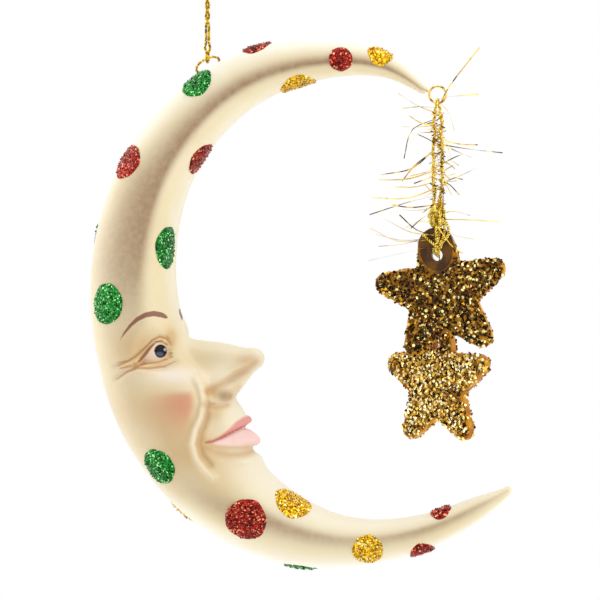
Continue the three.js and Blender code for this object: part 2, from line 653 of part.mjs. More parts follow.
// Dots: direction from the crescent's centre, turn round the section, and size. The near side
// has positive turns. Those past the edges and on the far side carry the same pattern on.
const DOTS = [
  { name: "green_dot_crown", colour: "green", angle: 123.3, around: 34, size: 0.88 },
  { name: "red_dot_crown", colour: "red", angle: 108.9, around: 5, size: 0.8 },
  { name: "gold_dot_under_horn", colour: "gold", angle: 101.7, around: 172, size: 0.96 },
  { name: "red_dot_upper_horn", colour: "red", angle: 89.9, around: 84, size: 0.62 },
  { name: "gold_dot_upper_horn", colour: "gold", angle: 81.1, around: 28, size: 0.68 },
  { name: "red_dot_back", colour: "red", angle: 146.5, around: 32, size: 0.95 },
  { name: "red_dot_inner", colour: "red", angle: 134.8, around: 158, size: 0.92 },
  { name: "green_dot_inner", colour: "green", angle: 162.1, around: 135, size: 1.1 },
  { name: "green_dot_temple", colour: "green", angle: 179.9, around: 59, size: 1.06 },
  { name: "green_dot_cheek", colour: "green", angle: 222.2, around: 58, size: 0.98 },
  { name: "red_dot_chin", colour: "red", angle: 247.1, around: 77, size: 1.08 },
  { name: "gold_dot_chin", colour: "gold", angle: 256.6, around: 140, size: 1 },
  { name: "gold_dot_lower", colour: "gold", angle: 276.7, around: 66, size: 0.8 },
  { name: "red_dot_lower_horn", colour: "red", angle: 288.2, around: 13, size: 0.66 },
  { name: "red_dot_lower_tip", colour: "red", angle: 295.9, around: 152, size: 0.56 },
  { name: "green_dot_edge", colour: "green", angle: 163.8, around: -12, size: 0.95 },
  { name: "gold_dot_edge", colour: "gold", angle: 231.4, around: -10, size: 0.95 },
  { name: "green_dot_under", colour: "green", angle: 260.2, around: -12, size: 0.95 },
  { name: "far_gold_dot_crown", colour: "gold", angle: 133, around: -64, size: 0.95 },
  { name: "far_green_dot_horn", colour: "green", angle: 98, around: -86, size: 0.68 },
  { name: "far_red_dot_temple", colour: "red", angle: 176, around: -70, size: 1.06 },
  { name: "far_gold_dot_back", colour: "gold", angle: 198, around: -38, size: 1 },
  { name: "far_green_dot_cheek", colour: "green", angle: 226, around: -62, size: 1 },
  { name: "far_red_dot_chin", colour: "red", angle: 252, around: -84, size: 1 },
  { name: "far_gold_dot_lower", colour: "gold", angle: 279, around: -74, size: 0.78 },
];

const COLOURS = {
  green: { color: 0x0f8f35, roughness: 0.45, metalness: 0.3 },
  red: { color: 0x9c2218, roughness: 0.45, metalness: 0.3 },
  gold: { color: 0xd9a514, roughness: 0.45, metalness: 0.5 },
};
const LOOKS = {
  resin: { color: 0xf0e2c0, roughness: 0.55, metalness: 0 },
  gold: { color: 0xc9962e, roughness: 0.3, metalness: 1 },
  cord: { color: 0xb98a2c, roughness: 0.5, metalness: 0.6 },
  tinsel: { color: 0xd8b04a, roughness: 0.25, metalness: 0.9 },
  plastic: { color: 0x9a5a10, roughness: 0.35, metalness: 0.1 },
};

const ornament = new THREE.Group();
ornament.name = "moon_ornament";

function place(parent, name, geometry, look) {
  const mesh = new THREE.Mesh(geometry, new THREE.MeshStandardMaterial(look));
  mesh.name = name;
  parent.add(mesh);
  return mesh;
}

// Groups hang from one another as the real pieces do.
const bearingHeight = -(LOOP_HEIGHT + KNOT_HEIGHT + CORD_DROP);
const bearing = new THREE.Group();
bearing.position.set(0, 0, bearingHeight);
const moon = new THREE.Group();
moon.position.set(-EYE.bearing[0], 0, -EYE.bearing[2]);
const string = new THREE.Group();
string.position.set(...TIP.bearing);
ornament.add(bearing);
bearing.add(moon);
moon.add(string);

place(ornament, "hanging_loop", tube(loopPoints(), CORD_DIAMETER, 6, 36), LOOKS.cord);
place(ornament, "loop_knot", knotGeometry(), LOOKS.cord).position.z = -LOOP_HEIGHT - KNOT_HEIGHT / 2;
place(bearing, "hanging_cord", tube(hangingCordPoints(), CORD_DIAMETER, 6, 70), LOOKS.cord);
place(moon, "moon_casting", moonGeometry(), LOOKS.resin);
place(moon, "top_eye", topEyeGeometry(), LOOKS.gold);
place(moon, "tip_eye", tipEyeGeometry(), LOOKS.gold);
for (const dot of DOTS) place(moon, dot.name, dotGeometry(dot.angle, dot.around, dot.size), COLOURS[dot.colour]);

const bundle = bundleGeometry();
const bundleHeight = -TINSEL_RUN_END - 3.2 - GAP - bundle.height / 2;
place(string, "tinsel_string", tinselGeometry(), LOOKS.tinsel);
place(string, "tinsel_bundle", bundle.geometry, LOOKS.tinsel).position.z = bundleHeight;
place(string, "upper_star_wrap", wrapGeometry(TINSEL_DIAMETER), LOOKS.tinsel).position.z = -TINSEL_LENGTH;
const upperStar = place(string, "upper_star", starGeometry(), LOOKS.plastic);
upperStar.position.z = -TINSEL_LENGTH;
upperStar.rotation.y = -UPPER_STAR_LEAN * DEGREE;

const lowerHang = new THREE.Group();
lowerHang.position.set(LOWER_STAR_ASIDE, LOWER_STAR_BACK, -TINSEL_LENGTH - LOWER_STAR_DROP);
lowerHang.rotation.z = -LOWER_STAR_TURN * DEGREE;
string.add(lowerHang);
place(lowerHang, "lower_star_wrap", wrapGeometry(THREAD_DIAMETER), LOOKS.tinsel);
place(lowerHang, "lower_star", starGeometry(), LOOKS.plastic);

const behind = STAR_THICKNESS / 2 + TINSEL_DIAMETER + GAP + 0.1 + GAP + 0.1 + THREAD_DIAMETER / 2;
const threadEnd = LUG_ABOVE_HOLE + 2 * GAP + 0.2 + THREAD_DIAMETER;
const threadFrom = [0, behind, -TINSEL_LENGTH + 2];
const threadTo = [LOWER_STAR_ASIDE, LOWER_STAR_BACK, -TINSEL_LENGTH - LOWER_STAR_DROP + threadEnd];
const middleOf = threadFrom.map((value, k) => value * 0.5 + threadTo[k] * 0.5);
place(string, "lower_thread", tube([threadFrom, middleOf, threadTo], THREAD_DIAMETER, 6, 8), LOOKS.tinsel);

export default ornament;
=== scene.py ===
# %% [markdown]
# # A hanging moon ornament
#
# A cast resin crescent with a painted face hangs from a gold cord. Glitter dots are glued on it,
# and two glitter stars hang from a tinsel string at its upper tip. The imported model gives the
# frame: where each piece hangs and what moves with what. This lesson dresses it piece by piece.

# %% Load the frame
import math

import bmesh
import bpy
import numpy as np
from mathutils import Matrix, Vector


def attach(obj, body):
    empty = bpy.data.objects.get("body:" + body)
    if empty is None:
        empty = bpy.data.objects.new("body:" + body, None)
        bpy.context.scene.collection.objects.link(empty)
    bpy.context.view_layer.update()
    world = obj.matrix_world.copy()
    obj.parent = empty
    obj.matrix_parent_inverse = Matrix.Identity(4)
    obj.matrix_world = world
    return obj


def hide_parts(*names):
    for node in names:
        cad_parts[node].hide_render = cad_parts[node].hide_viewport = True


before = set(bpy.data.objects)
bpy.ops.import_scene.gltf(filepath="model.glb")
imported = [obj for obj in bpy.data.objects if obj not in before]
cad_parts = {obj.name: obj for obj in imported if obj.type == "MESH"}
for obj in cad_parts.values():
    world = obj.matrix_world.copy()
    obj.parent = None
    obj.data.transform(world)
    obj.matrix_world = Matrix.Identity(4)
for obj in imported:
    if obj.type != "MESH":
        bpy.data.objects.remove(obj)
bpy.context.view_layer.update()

MM = 0.001

# %% [markdown]
# ## The camera
#
# The photograph was taken from a little to the face's side, with a long lens that hardly bends
# the crescent. A far camera with a long focal length gives the same flat look: its frame takes
# in 171 mm, so one pixel of the photograph is 0.285 mm.

# %% Place the camera
PIXEL = 0.285
PHOTO_WIDTH = 600
FRAME_WIDTH = PHOTO_WIDTH * PIXEL
VIEW_TURN = math.radians(12)
SENSOR_WIDTH = 36
CAMERA_DISTANCE = 1000
VIEW_CENTRE = Vector((27.1, 0, -116.5))

toward = Vector((-math.sin(VIEW_TURN), math.cos(VIEW_TURN), 0))
lens = bpy.data.cameras.new("long_lens")
lens.sensor_width = SENSOR_WIDTH
lens.lens = SENSOR_WIDTH * CAMERA_DISTANCE / FRAME_WIDTH
lens.clip_end = 20
camera = bpy.data.objects.new("long_lens", lens)
camera.location = (VIEW_CENTRE - toward * CAMERA_DISTANCE) * MM
camera.rotation_euler = toward.to_track_quat("-Z", "Y").to_euler()
bpy.context.collection.objects.link(camera)
bpy.context.scene.camera = camera
print("focal length in mm:", round(lens.lens, 1))

# %% [markdown]
# ## Small helpers
#
# Every piece is made in millimetres in a bmesh, then scaled to metres once, so that its object
# can stay at the origin. Its material comes from a few nodes, which two short functions add.

# %% Helpers for pieces
def finish_mesh(bm, name, material, smooth=True):
    """A mesh in metres from a bmesh in millimetres."""
    bmesh.ops.scale(bm, vec=(MM, MM, MM), verts=bm.verts)
    for face in bm.faces:
        face.smooth = smooth
    mesh = bpy.data.meshes.new(name)
    bm.to_mesh(mesh)
    bm.free()
    mesh.materials.append(material)
    return mesh


def add_piece(name, mesh, body, stands_for=()):
    """An object at the origin that rides on a body."""
    thing = bpy.data.objects.new(name, mesh)
    bpy.context.collection.objects.link(thing)
    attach(thing, body)
    if stands_for:
        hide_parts(*stands_for)
    return thing


# %% Helpers for materials
def srgb(red, green, blue):
    """A colour as a paint chart gives it, 0 to 255, in Blender's linear values."""
    parts = [v / 255 for v in (red, green, blue)]
    linear = [v / 12.92 if v <= 0.04045 else ((v + 0.055) / 1.055) ** 2.4 for v in parts]
    return (*linear, 1.0)


def new_material(name, **values):
    """A Principled material. Underscores in the names stand for the spaces of its sockets."""
    material = bpy.data.materials.new(name)
    material.use_nodes = True
    shader = material.node_tree.nodes["Principled BSDF"]
    for socket, value in values.items():
        shader.inputs[socket.replace("_", " ")].default_value = value
    return material, material.node_tree, shader


def add_node(tree, kind, settings, inputs):
    """A node with its settings, and with each input either linked or given a value."""
    node = tree.nodes.new(kind)
    for name, value in settings.items():
        setattr(node, name, value)
    for key, value in inputs.items():
        if isinstance(value, bpy.types.NodeSocket):
            tree.links.new(value, node.inputs[key])
        else:
            node.inputs[key].default_value = value
    return node


def mix_colours(tree, share, first, second):
    """The first colour where the share is 0 and the second one where it is 1."""
    node = add_node(tree, "ShaderNodeMix", {"data_type": "RGBA"}, {0: share, 6: first, 7: second})
    return node.outputs[2]


def fade(tree, value, start, end, low=0.0, high=1.0):
    """Goes softly from low at start to high at end."""
    node = add_node(tree, "ShaderNodeMapRange", {"interpolation_type": "SMOOTHSTEP"},
                    {0: value, 1: start, 2: end, 3: low, 4: high})
    return node.outputs[0]


def combine(tree, operation, first, second):
    node = add_node(tree, "ShaderNodeMath", {"operation": operation}, {0: first, 1: second})
    return node.outputs[0]


def times(tree, first, second):
    return combine(tree, "MULTIPLY", first, second)


def noise(tree, size_mm, detail=3.0, roughness=0.5):
    """Noise whose blobs are about size_mm across, in the piece's own place."""
    return add_node(tree, "ShaderNodeTexNoise", {}, {
        "Vector": own_place(tree), "Scale": 1000 / size_mm, "Detail": detail,
        "Roughness": roughness}).outputs[0]


def cells(tree, size_mm):
    """Cells about size_mm apart, each with a colour by chance and a distance to its middle."""
    return add_node(tree, "ShaderNodeTexVoronoi", {}, {
        "Vector": own_place(tree), "Scale": 1000 / size_mm}).outputs


def first_channel(tree, colour):
    return add_node(tree, "ShaderNodeSeparateColor", {}, {0: colour}).outputs[0]


def own_place(tree):
    """Coordinates that stay with the piece, so that no pattern slides over it."""
    return add_node(tree, "ShaderNodeTexCoord", {}, {}).outputs["Object"]


def chance_of_island(tree):
    """A number by chance for each loose thread, strip or flake."""
    return add_node(tree, "ShaderNodeNewGeometry", {}, {}).outputs["Random Per Island"]


def painted(tree, name):
    """A value that was painted on the mesh as an attribute."""
    return add_node(tree, "ShaderNodeAttribute", {"attribute_name": name}, {}).outputs["Fac"]


def add_bumps(tree, shader, strength, depth_mm, height):
    bump = add_node(tree, "ShaderNodeBump", {}, {
        "Strength": strength, "Distance": depth_mm * MM, "Height": height})
    tree.links.new(bump.outputs[0], shader.inputs["Normal"])


# %% [markdown]
# ## Cords
#
# The hanging cord is doubled through the wire eye on the crown, and its two runs twist together
# above it. Each run is itself laid from three metallic threads. A cord follows a smooth line
# through a few points, and each thread winds round that line, so light breaks up on it as on
# real gold cord. The routes are those of the solids that they stand for.

# %% Smooth routes
def smooth_route(points, count, closed=False):
    """Evenly spaced points on the centripetal curve through the given ones."""
    p = np.array(points, float)
    if closed:
        p = np.vstack([p[-1], p, p[0], p[1]])
    else:
        p = np.vstack([2 * p[0] - p[1], p, 2 * p[-1] - p[-2]])
    fine = []
    for a, b, c, d in zip(p, p[1:], p[2:], p[3:]):
        ab, bc, cd = (max(np.linalg.norm(q - r), 1e-6) ** 0.5 for q, r in ((b, a), (c, b), (d, c)))
        leave = ((b - a) / ab - (c - a) / (ab + bc) + (c - b) / bc) * bc
        arrive = ((c - b) / bc - (d - b) / (bc + cd) + (d - c) / cd) * bc
        t = np.linspace(0, 1, 24, endpoint=False)[:, None]
        fine.append(b * (2 * t**3 - 3 * t**2 + 1) + c * (3 * t**2 - 2 * t**3)
                    + leave * (t**3 - 2 * t**2 + t) + arrive * (t**3 - t**2))
    fine = np.vstack(fine + [p[-2][None]])
    run = np.concatenate([[0], np.cumsum(np.linalg.norm(np.diff(fine, axis=0), axis=1))])
    at = np.linspace(0, run[-1], count)
    return np.stack([np.interp(at, run, fine[:, k]) for k in range(3)], 1), run[-1]


def side_directions(route):
    """Two directions across a route at each point, which turn with it and never flip."""
    ahead = np.gradient(route, axis=0)
    ahead /= np.linalg.norm(ahead, axis=1)[:, None]
    across = np.cross(ahead[0], [0.3, 0.2, 1.0] if abs(ahead[0][2]) < 0.9 else [1.0, 0.2, 0.1])
    sides = []
    for way in ahead:
        across = across - way * (across @ way)
        across /= np.linalg.norm(across)
        sides.append(across)
    sides = np.array(sides)
    return sides, np.cross(ahead, sides)


# %% Threads wound round a route
# How thick one thread is in a cord of one, two or three threads, as a share of the cord.
THREAD_SHARE = {1: 1.0, 2: 0.5, 3: 0.464}
KINKS = 24


def wound_mesh(name, routes, diameter, material, threads=3, pitch=2.4, loose=0.0, seed=1):
    """A mesh of threads wound round one or more routes, which together are diameter across."""
    shape = bpy.data.curves.new(name, "CURVE")
    shape.dimensions = "3D"
    thread = diameter * THREAD_SHARE[threads]
    shape.bevel_depth = thread / 2 * MM
    shape.bevel_resolution = 4 if threads == 1 else 2
    shape.use_fill_caps = True
    rng = np.random.default_rng(seed)
    for route, length in routes:
        side, up = side_directions(route)
        along = np.linspace(0, length, len(route))
        for k in range(threads):
            turn = 2 * math.pi * (along / pitch + k / threads)
            kinks = rng.normal(0, 1, KINKS)
            wander = loose * np.interp(along, np.linspace(0, length, KINKS), kinks)
            reach = ((diameter - thread) / 2 + np.abs(wander))[:, None]
            line = route + reach * (side * np.cos(turn)[:, None] + up * np.sin(turn)[:, None])
            spline = shape.splines.new("POLY")
            spline.points.add(len(line) - 1)
            places = np.column_stack([line * MM, np.ones(len(line))])
            spline.points.foreach_set("co", places.ravel())
            spline.use_smooth = True
    thing = bpy.data.objects.new(name, shape)
    bpy.context.collection.objects.link(thing)
    bpy.context.view_layer.update()
    graph = bpy.context.evaluated_depsgraph_get()
    mesh = bpy.data.meshes.new_from_object(thing.evaluated_get(graph))
    mesh.name = name
    bpy.data.objects.remove(thing)
    mesh.materials.clear()
    mesh.materials.append(material)
    return mesh


# %% [markdown]
# Metallic thread is a thin foil wound on a core. It is shiny but broken up: each thread gets a
# slightly different gold, and the foil's turns show as fine darker bands.

# %% Gold thread
def metal_thread(name, light, dark, roughness, size_mm):
    material, tree, shader = new_material(name, Metallic=0.85, Roughness=roughness)
    blobs = noise(tree, size_mm, 2.0)
    tone = combine(tree, "ADD", fade(tree, blobs, 0.42, 0.58, 0.0, 0.75),
                   times(tree, chance_of_island(tree), 0.25))
    tree.links.new(mix_colours(tree, tone, dark, light), shader.inputs["Base Color"])
    add_bumps(tree, shader, 0.5, 0.05, blobs)
    return material


cord_gold = metal_thread("cord_gold", srgb(250, 208, 44), srgb(88, 62, 6), 0.34, 0.7)
tinsel_gold = metal_thread("tinsel_gold", srgb(255, 238, 118), srgb(178, 132, 26), 0.3, 0.6)

# %% Routes of the hanging cord and its loop
CORD_DIAMETER = 0.8
CORD_DROP = 19
KNOT_HEIGHT = 4.2
LOOP_HEIGHT = 24
LOOP_WIDTH = 11
BEARING = np.array([0, 0, -(LOOP_HEIGHT + KNOT_HEIGHT + CORD_DROP)])
GAP = 0.3
TOP_EYE_WIRE, TIP_EYE_WIRE = 0.85, 0.6
# Heights over the bearing where the twist ends and the two runs begin to part, in millimetres.
TWIST_END, TWIST_PITCH = 9, 6
PART_FROM, PART_OVER = 4.5, 3


def hanging_cord_points():
    """Down from the knot, round the eye's wire and back up, twisted together above."""
    near = CORD_DIAMETER / 2 + 0.04
    wide = (TOP_EYE_WIRE + CORD_DIAMETER) / 2 + GAP + 0.05

    def at(z):
        twist = 360 * (z - TWIST_END) / TWIST_PITCH if z > TWIST_END else 0
        part = min(max((PART_FROM - z) / PART_OVER, 0), 1)
        angle = math.radians(180 + twist + 90 * part)
        radius = near + (wide - near) * part
        return [radius * math.cos(angle), radius * math.sin(angle), z]

    twisted = list(np.arange(CORD_DROP - GAP, TWIST_END, -0.75))
    run = [at(z) for z in twisted + [TWIST_END, 7.5, 6, 4.5, 3, 1.5, 0.3]]
    bight = [[0, -wide * 0.75, -wide * 0.7], [0, 0, -wide], [0, wide * 0.75, -wide * 0.7]]
    back = [[-x, -y, z] for x, y, z in reversed(run)]
    return np.array(run + bight + back) + BEARING


def loop_points():
    """A long drop shape above the knot, whose inner top is the origin."""
    low, half = GAP - LOOP_HEIGHT, LOOP_WIDTH / 2
    side = [[0.6, 0, low], [0.9, 0, low + 3], [half * 0.72, 0, low + LOOP_HEIGHT * 0.42],
            [half, 0, low + LOOP_HEIGHT * 0.72], [half * 0.62, 0, CORD_DIAMETER / 2 - 1]]
    return side + [[0, 0, CORD_DIAMETER / 2]] + [[-x, y, z] for x, y, z in reversed(side)]


# %% Lay the hanging cord and its loop
def lay_cord(name, points, count, diameter, body, material, stands_for):
    """A wound cord that rides on a body, with its path and its real length."""
    route, length = smooth_route(points, count)
    mesh = wound_mesh(name, [(route, length)], diameter, material)
    thing = add_piece(name, mesh, body, stands_for)
    print(name, "is", round(length, 1), "mm long")
    return thing, [tuple(p) for p in route[::4] * MM], length * MM


hanging = lay_cord("gold_cord", hanging_cord_points(), 300, CORD_DIAMETER, "cord",
                   cord_gold, ["hanging_cord"])
loop = lay_cord("gold_cord_loop", loop_points(), 240, CORD_DIAMETER, "loop",
                cord_gold, ["hanging_loop"])

# %% [markdown]
# The knot is an overhand knot in the doubled cord. A little more than four small turns, wound
# tightly round a short core, read as such a knot and hide where the ends go in.

# %% Tie the knot
KNOT_LEAN = math.radians(18)


def knot_routes(centre, radius, height, turns):
    """Turns of cord round a core, leaning a little as pulled knots do."""
    t = np.linspace(0, 1, 90)
    angle = 2 * math.pi * turns * t
    bulge = radius * (0.72 + 0.28 * np.sin(math.pi * t))
    ring = np.stack([bulge * np.cos(angle), bulge * np.sin(angle), height * (t - 0.5)], 1)
    ring[:, 2] += ring[:, 0] * math.tan(KNOT_LEAN)
    run = np.linalg.norm(np.diff(ring, axis=0), axis=1).sum()
    return [(ring + np.array(centre), run)]


knot_turns = knot_routes((0, 0, -LOOP_HEIGHT - KNOT_HEIGHT / 2), radius=1.1, height=3.5, turns=4.4)
knot_mesh = wound_mesh("cord_knot", knot_turns, CORD_DIAMETER, cord_gold)
knot = add_piece("cord_knot", knot_mesh, "loop", ["loop_knot"])

# %% [markdown]
# ## The tinsel string
#
# It is doubled as well: through the small eye at the tip, open at a small ring, then two runs
# side by side that are pinched again above a thick tied bundle. One end goes over the upper
# star's lug and through its hole. A thinner thread goes on down to the lower star.

# %% Route of the tinsel string
TINSEL_DIAMETER = 0.9
TINSEL_LENGTH = 43
TIP_BEARING = np.array([66.88, 0, -60.84])
RUN_END = TINSEL_LENGTH * 0.62


def tinsel_points():
    """Up from the bundle, through the eye at the tip and down again, with one open ring."""
    wide = (TIP_EYE_WIRE + TINSEL_DIAMETER) / 2 + GAP + 0.05
    pinch = TINSEL_DIAMETER / 2 + 0.22
    spread = 1.3
    side = [[pinch, 0, -RUN_END - 3.2], [pinch, 0, -RUN_END - 2.6], [1.15, 0, -RUN_END - 1.2],
            [pinch + 0.1, 0, -RUN_END + 0.4], [spread, 0, -RUN_END + 4],
            [spread * 0.9, 0.3, -RUN_END * 0.62], [spread, -0.2, -RUN_END * 0.42],
            [pinch + 0.1, 0, -7.6], [1.3, 0, -5.6], [pinch, 0, -3.4],
            [pinch * 0.8, wide * 0.6, -1.6], [0, wide, 0.1], [0, wide * 0.75, wide * 0.75]]
    other = [[-x, -y, z] for x, y, z in reversed(side)]
    return np.array(side + [[0, 0, wide]] + other) + TIP_BEARING


string = lay_cord("tinsel_cord", tinsel_points(), 420, TINSEL_DIAMETER, "tinsel",
                  tinsel_gold, ["tinsel_string"])

# %% Routes through the stars' holes
STAR_THICKNESS = 2.4
LUG_ABOVE_HOLE = 7.9
UPPER_HOLE = TIP_BEARING + [0, 0, -TINSEL_LENGTH]
LOWER_HOLE = TIP_BEARING + [-1.5, 10, -TINSEL_LENGTH - 25]


def over_the_lug(diameter, place, turn):
    """Through the hole, up both faces of the lug and over its top."""
    out = STAR_THICKNESS / 2 + GAP + 0.1 + diameter / 2
    top = LUG_ABOVE_HOLE + GAP + 0.1 + diameter / 2
    near = [[0, -out * 0.8, 0.35], [0, -out, top * 0.3], [0, -out, top * 0.62],
            [0, -out * 0.72, top * 0.94]]
    far = [[x, -y, z] for x, y, z in reversed(near)]
    points = np.array([[0, 0, 0]] + near + [[0, 0, top]] + far)
    cos, sin = math.cos(math.radians(turn)), math.sin(math.radians(turn))
    spun = np.column_stack([points[:, 0] * cos - points[:, 1] * sin,
                            points[:, 0] * sin + points[:, 1] * cos, points[:, 2]])
    return smooth_route(spun + place, 90, closed=True)


# %% Tie the bundle and the upper star
def loose_loops(centre, count, seed):
    """Small open loops of string, thrown round an upright middle line."""
    rng = np.random.default_rng(seed)
    routes = []
    for _ in range(count):
        t = np.linspace(0, 2 * math.pi, 26)
        width, height, turn = rng.uniform(1.1, 2.4), rng.uniform(0.8, 1.7), rng.uniform(0, math.pi)
        flat = width * np.cos(t) + rng.normal(0, 0.5)
        ring = np.stack([flat * math.cos(turn), flat * math.sin(turn), height * np.sin(t)], 1)
        ring += centre + [0, 0, rng.uniform(-2.6, 2.6)]
        routes.append((ring, 2 * math.pi * (width + height) / 2))
    return routes


bundle_middle = TIP_BEARING + [0, 0, -RUN_END - 5.2]
bundle_turns = knot_routes(bundle_middle, radius=1.2, height=3.4, turns=4.2)
bundle_turns += loose_loops(bundle_middle - [0, 0, 0.5], count=24, seed=4)
bundle_mesh = wound_mesh("tinsel_knot", bundle_turns, 0.7, tinsel_gold, loose=0.08, pitch=1.8)
bundle = add_piece("tinsel_knot", bundle_mesh, "tinsel", ["tinsel_bundle"])
tie_mesh = wound_mesh("upper_star_tie", [over_the_lug(TINSEL_DIAMETER, UPPER_HOLE, 0)],
                      TINSEL_DIAMETER, tinsel_gold)
upper_tie = add_piece("upper_star_tie", tie_mesh, "tinsel", ["upper_star_wrap"])

# %% Loose ends, drawn where the photograph shows them
# Where the cord bears in the crown eye, in pixels of the photograph across and down.
BEARING_ACROSS, BEARING_DOWN = 207, 57


def on_the_sheet(points):
    """Places in the ornament's frame, from pixels across and down and a depth in millimetres."""
    across, down, depth = np.array(points, float).T
    x = ((across - BEARING_ACROSS) * PIXEL + depth * math.sin(VIEW_TURN)) / math.cos(VIEW_TURN)
    return np.stack([x, depth, BEARING[2] - (down - BEARING_DOWN) * PIXEL], 1)


ENDS_ON_THE_LUG = [
    [(440, 222, -1.2), (441.5, 230, -2.2), (441, 238, -2.5), (437.5, 246, -2.5), (434.5, 252, -1.6),
     (435.5, 256, 0.2)],
    [(444, 222, -1.0), (446, 230, -1.9), (445.5, 237, -2.4), (442, 245, -2.6), (440.5, 252, -2.2),
     (437.6, 257, -0.8)],
    [(446, 223, -0.6), (449.5, 230, -1.7), (449, 238, -2.3), (444.5, 243, -2.5), (442, 249, -2.3)],
    [(437, 224, -1.4), (438, 231, -2.2), (439.5, 238, -2.6), (441.5, 243, -2.7)],
    [(424.4, 235.4, -1.2), (428, 238, -2.1), (433, 242.4, -2.5), (438, 246.4, -2.7),
     (440.6, 249, -2.3)]]
ends_routes = [smooth_route(on_the_sheet(line), 60) for line in ENDS_ON_THE_LUG]
ends_mesh = wound_mesh("string_ends", ends_routes, 0.78, tinsel_gold, threads=2, pitch=1.5,
                       loose=0.1)
string_ends = add_piece("string_ends", ends_mesh, "tinsel")

# %% Tie the lower star and its thread
THIN_THREAD = 0.5
LOWER_STAR_TURN = -32


def thin_mesh(name, route):
    return wound_mesh(name, [route], THIN_THREAD, tinsel_gold, threads=2, pitch=1.6)


tie_mesh = thin_mesh("lower_star_tie", over_the_lug(THIN_THREAD, LOWER_HOLE, LOWER_STAR_TURN))
add_piece("lower_star_tie", tie_mesh, "lower_star", ["lower_star_wrap"])

behind = STAR_THICKNESS / 2 + TINSEL_DIAMETER + 2 * GAP + 0.2 + THIN_THREAD / 2
thread_from = UPPER_HOLE + [0, behind, 2]
thread_to = LOWER_HOLE + [0, 0, LUG_ABOVE_HOLE + 2 * GAP + 0.7]
thread_route = smooth_route([thread_from, (thread_from + thread_to) / 2, thread_to], 60)
thread = add_piece("star_thread", thin_mesh("star_thread", thread_route), "tinsel",
                   ["lower_thread"])
print("thread between the stars is", round(thread_route[1], 1), "mm long")

# %% [markdown]
# ## The crescent as one form
#
# A casting like this is sculpted in clay first. Here it is a distance function: the crescent
# comes from a table of sections, and the face is blended into it with soft fillets, as clay is.
# One function then serves for the mesh, for the glued dots and for finding the hollows, which are
# painted darker.

# %% Crescent sections
MOON_CENTRE = np.array([39.81, 0, -117.75])
MOON_RADIUS, BELLY_WIDTH, BELLY_DEPTH, TIP_ROUNDING = 75, 28.1, 34, 1.4
# Direction from the centre, middle radius, width and depth as shares, and the widest line.
SECTIONS = np.array([
    (69.6, 0.869, 0.107, 0.094, 0.45), (80, 0.918, 0.246, 0.212, 0.42),
    (95, 0.934, 0.402, 0.347, 0.40), (115, 0.937, 0.569, 0.506, 0.36),
    (140, 0.901, 0.712, 0.694, 0.28), (165, 0.846, 0.829, 0.871, 0.28),
    (190, 0.807, 0.929, 0.976, 0.42), (212, 0.807, 1, 1, 0.46), (235, 0.836, 0.94, 0.882, 0.46),
    (255, 0.877, 0.73, 0.659, 0.44), (272, 0.901, 0.505, 0.447, 0.44),
    (292, 0.914, 0.345, 0.288, 0.45), (304, 0.923, 0.242, 0.2, 0.46),
    (311.8, 0.941, 0.1, 0.088, 0.46)])
UPPER_TIP, LOWER_TIP = SECTIONS[0, 0], SECTIONS[-1, 0]


def along(table, column, angle):
    """A smooth curve through one column of a table, by its first column."""
    at, value = table[:, 0], table[:, column]
    a = np.clip(angle, at[0], at[-1])
    after = np.minimum(np.arange(len(at)) + 1, len(at) - 1)
    before = np.maximum(np.arange(len(at)) - 1, 0)
    slope = (value[after] - value[before]) / (at[after] - at[before])
    i = np.clip(np.searchsorted(at, a) - 1, 0, len(at) - 2)
    span = at[i + 1] - at[i]
    t = (a - at[i]) / span
    return (value[i] + (value[i + 1] - value[i]) * t * t * (3 - 2 * t)
            + t * (1 - t) ** 2 * span * slope[i] + t * t * (t - 1) * span * slope[i + 1])


def direction(p):
    """Degrees round the crescent's centre, from 0 at the right up over the crown."""
    angle = np.degrees(np.arctan2(p[:, 2], p[:, 0])) % 360
    return np.where(angle < UPPER_TIP / 2, angle + 360, angle)


def section(angle):
    """Radius of the widest line, the reach outward and inward of it, and half the depth."""
    middle = along(SECTIONS, 1, angle) * MOON_RADIUS
    width = along(SECTIONS, 2, angle) * BELLY_WIDTH
    share = along(SECTIONS, 4, angle)
    half = along(SECTIONS, 3, angle) * BELLY_DEPTH / 2
    return middle + width * (share - 0.5), width * (1 - share), width * share, half


# %% Clay shapes and how they join
def oval_distance(q, radii):
    """Distance to an oval, which is right close to it, from places in shares of its radii."""
    near = np.sqrt((q * q).sum(1))
    steep = np.sqrt(((q / radii) ** 2).sum(1))
    return near * (near - 1) / np.maximum(steep, 1e-9)


def ellipsoid(p, centre, radii):
    radii = np.array(radii, float)
    return oval_distance((p - np.array(centre, float)) / radii, radii)


def bar(p, start, end):
    """A bar with round ends. The fourth number of each end is its radius."""
    a, b = np.array(start, float), np.array(end, float)
    axis = b[:3] - a[:3]
    t = np.clip((p - a[:3]) @ axis / (axis @ axis), 0, 1)
    away = np.linalg.norm(p - a[:3] - t[:, None] * axis, axis=1)
    return away - (a[3] + (b[3] - a[3]) * t)


def blend(a, b, soft):
    """Two shapes as one, with a fillet about as wide as soft."""
    mix = np.maximum(soft - np.abs(a - b), 0) / soft
    return np.minimum(a, b) - mix * mix * soft / 4


def carve(a, b, soft):
    return -blend(-a, b, soft)


def crescent(p):
    """The crescent without its face. Past the first and last section, its tips are rounded off."""
    angle = direction(p)
    inside = np.clip(angle, UPPER_TIP, LOWER_TIP)
    ridge, outward, inward, half = section(inside)
    turn = np.radians(angle - inside)
    radius = np.hypot(p[:, 0], p[:, 2])
    off = radius * np.cos(turn) - ridge
    radii = np.stack([np.where(off > 0, outward, inward), half, np.full(len(p), TIP_ROUNDING)], 1)
    return oval_distance(np.stack([off, p[:, 1], radius * np.sin(turn)], 1) / radii, radii)


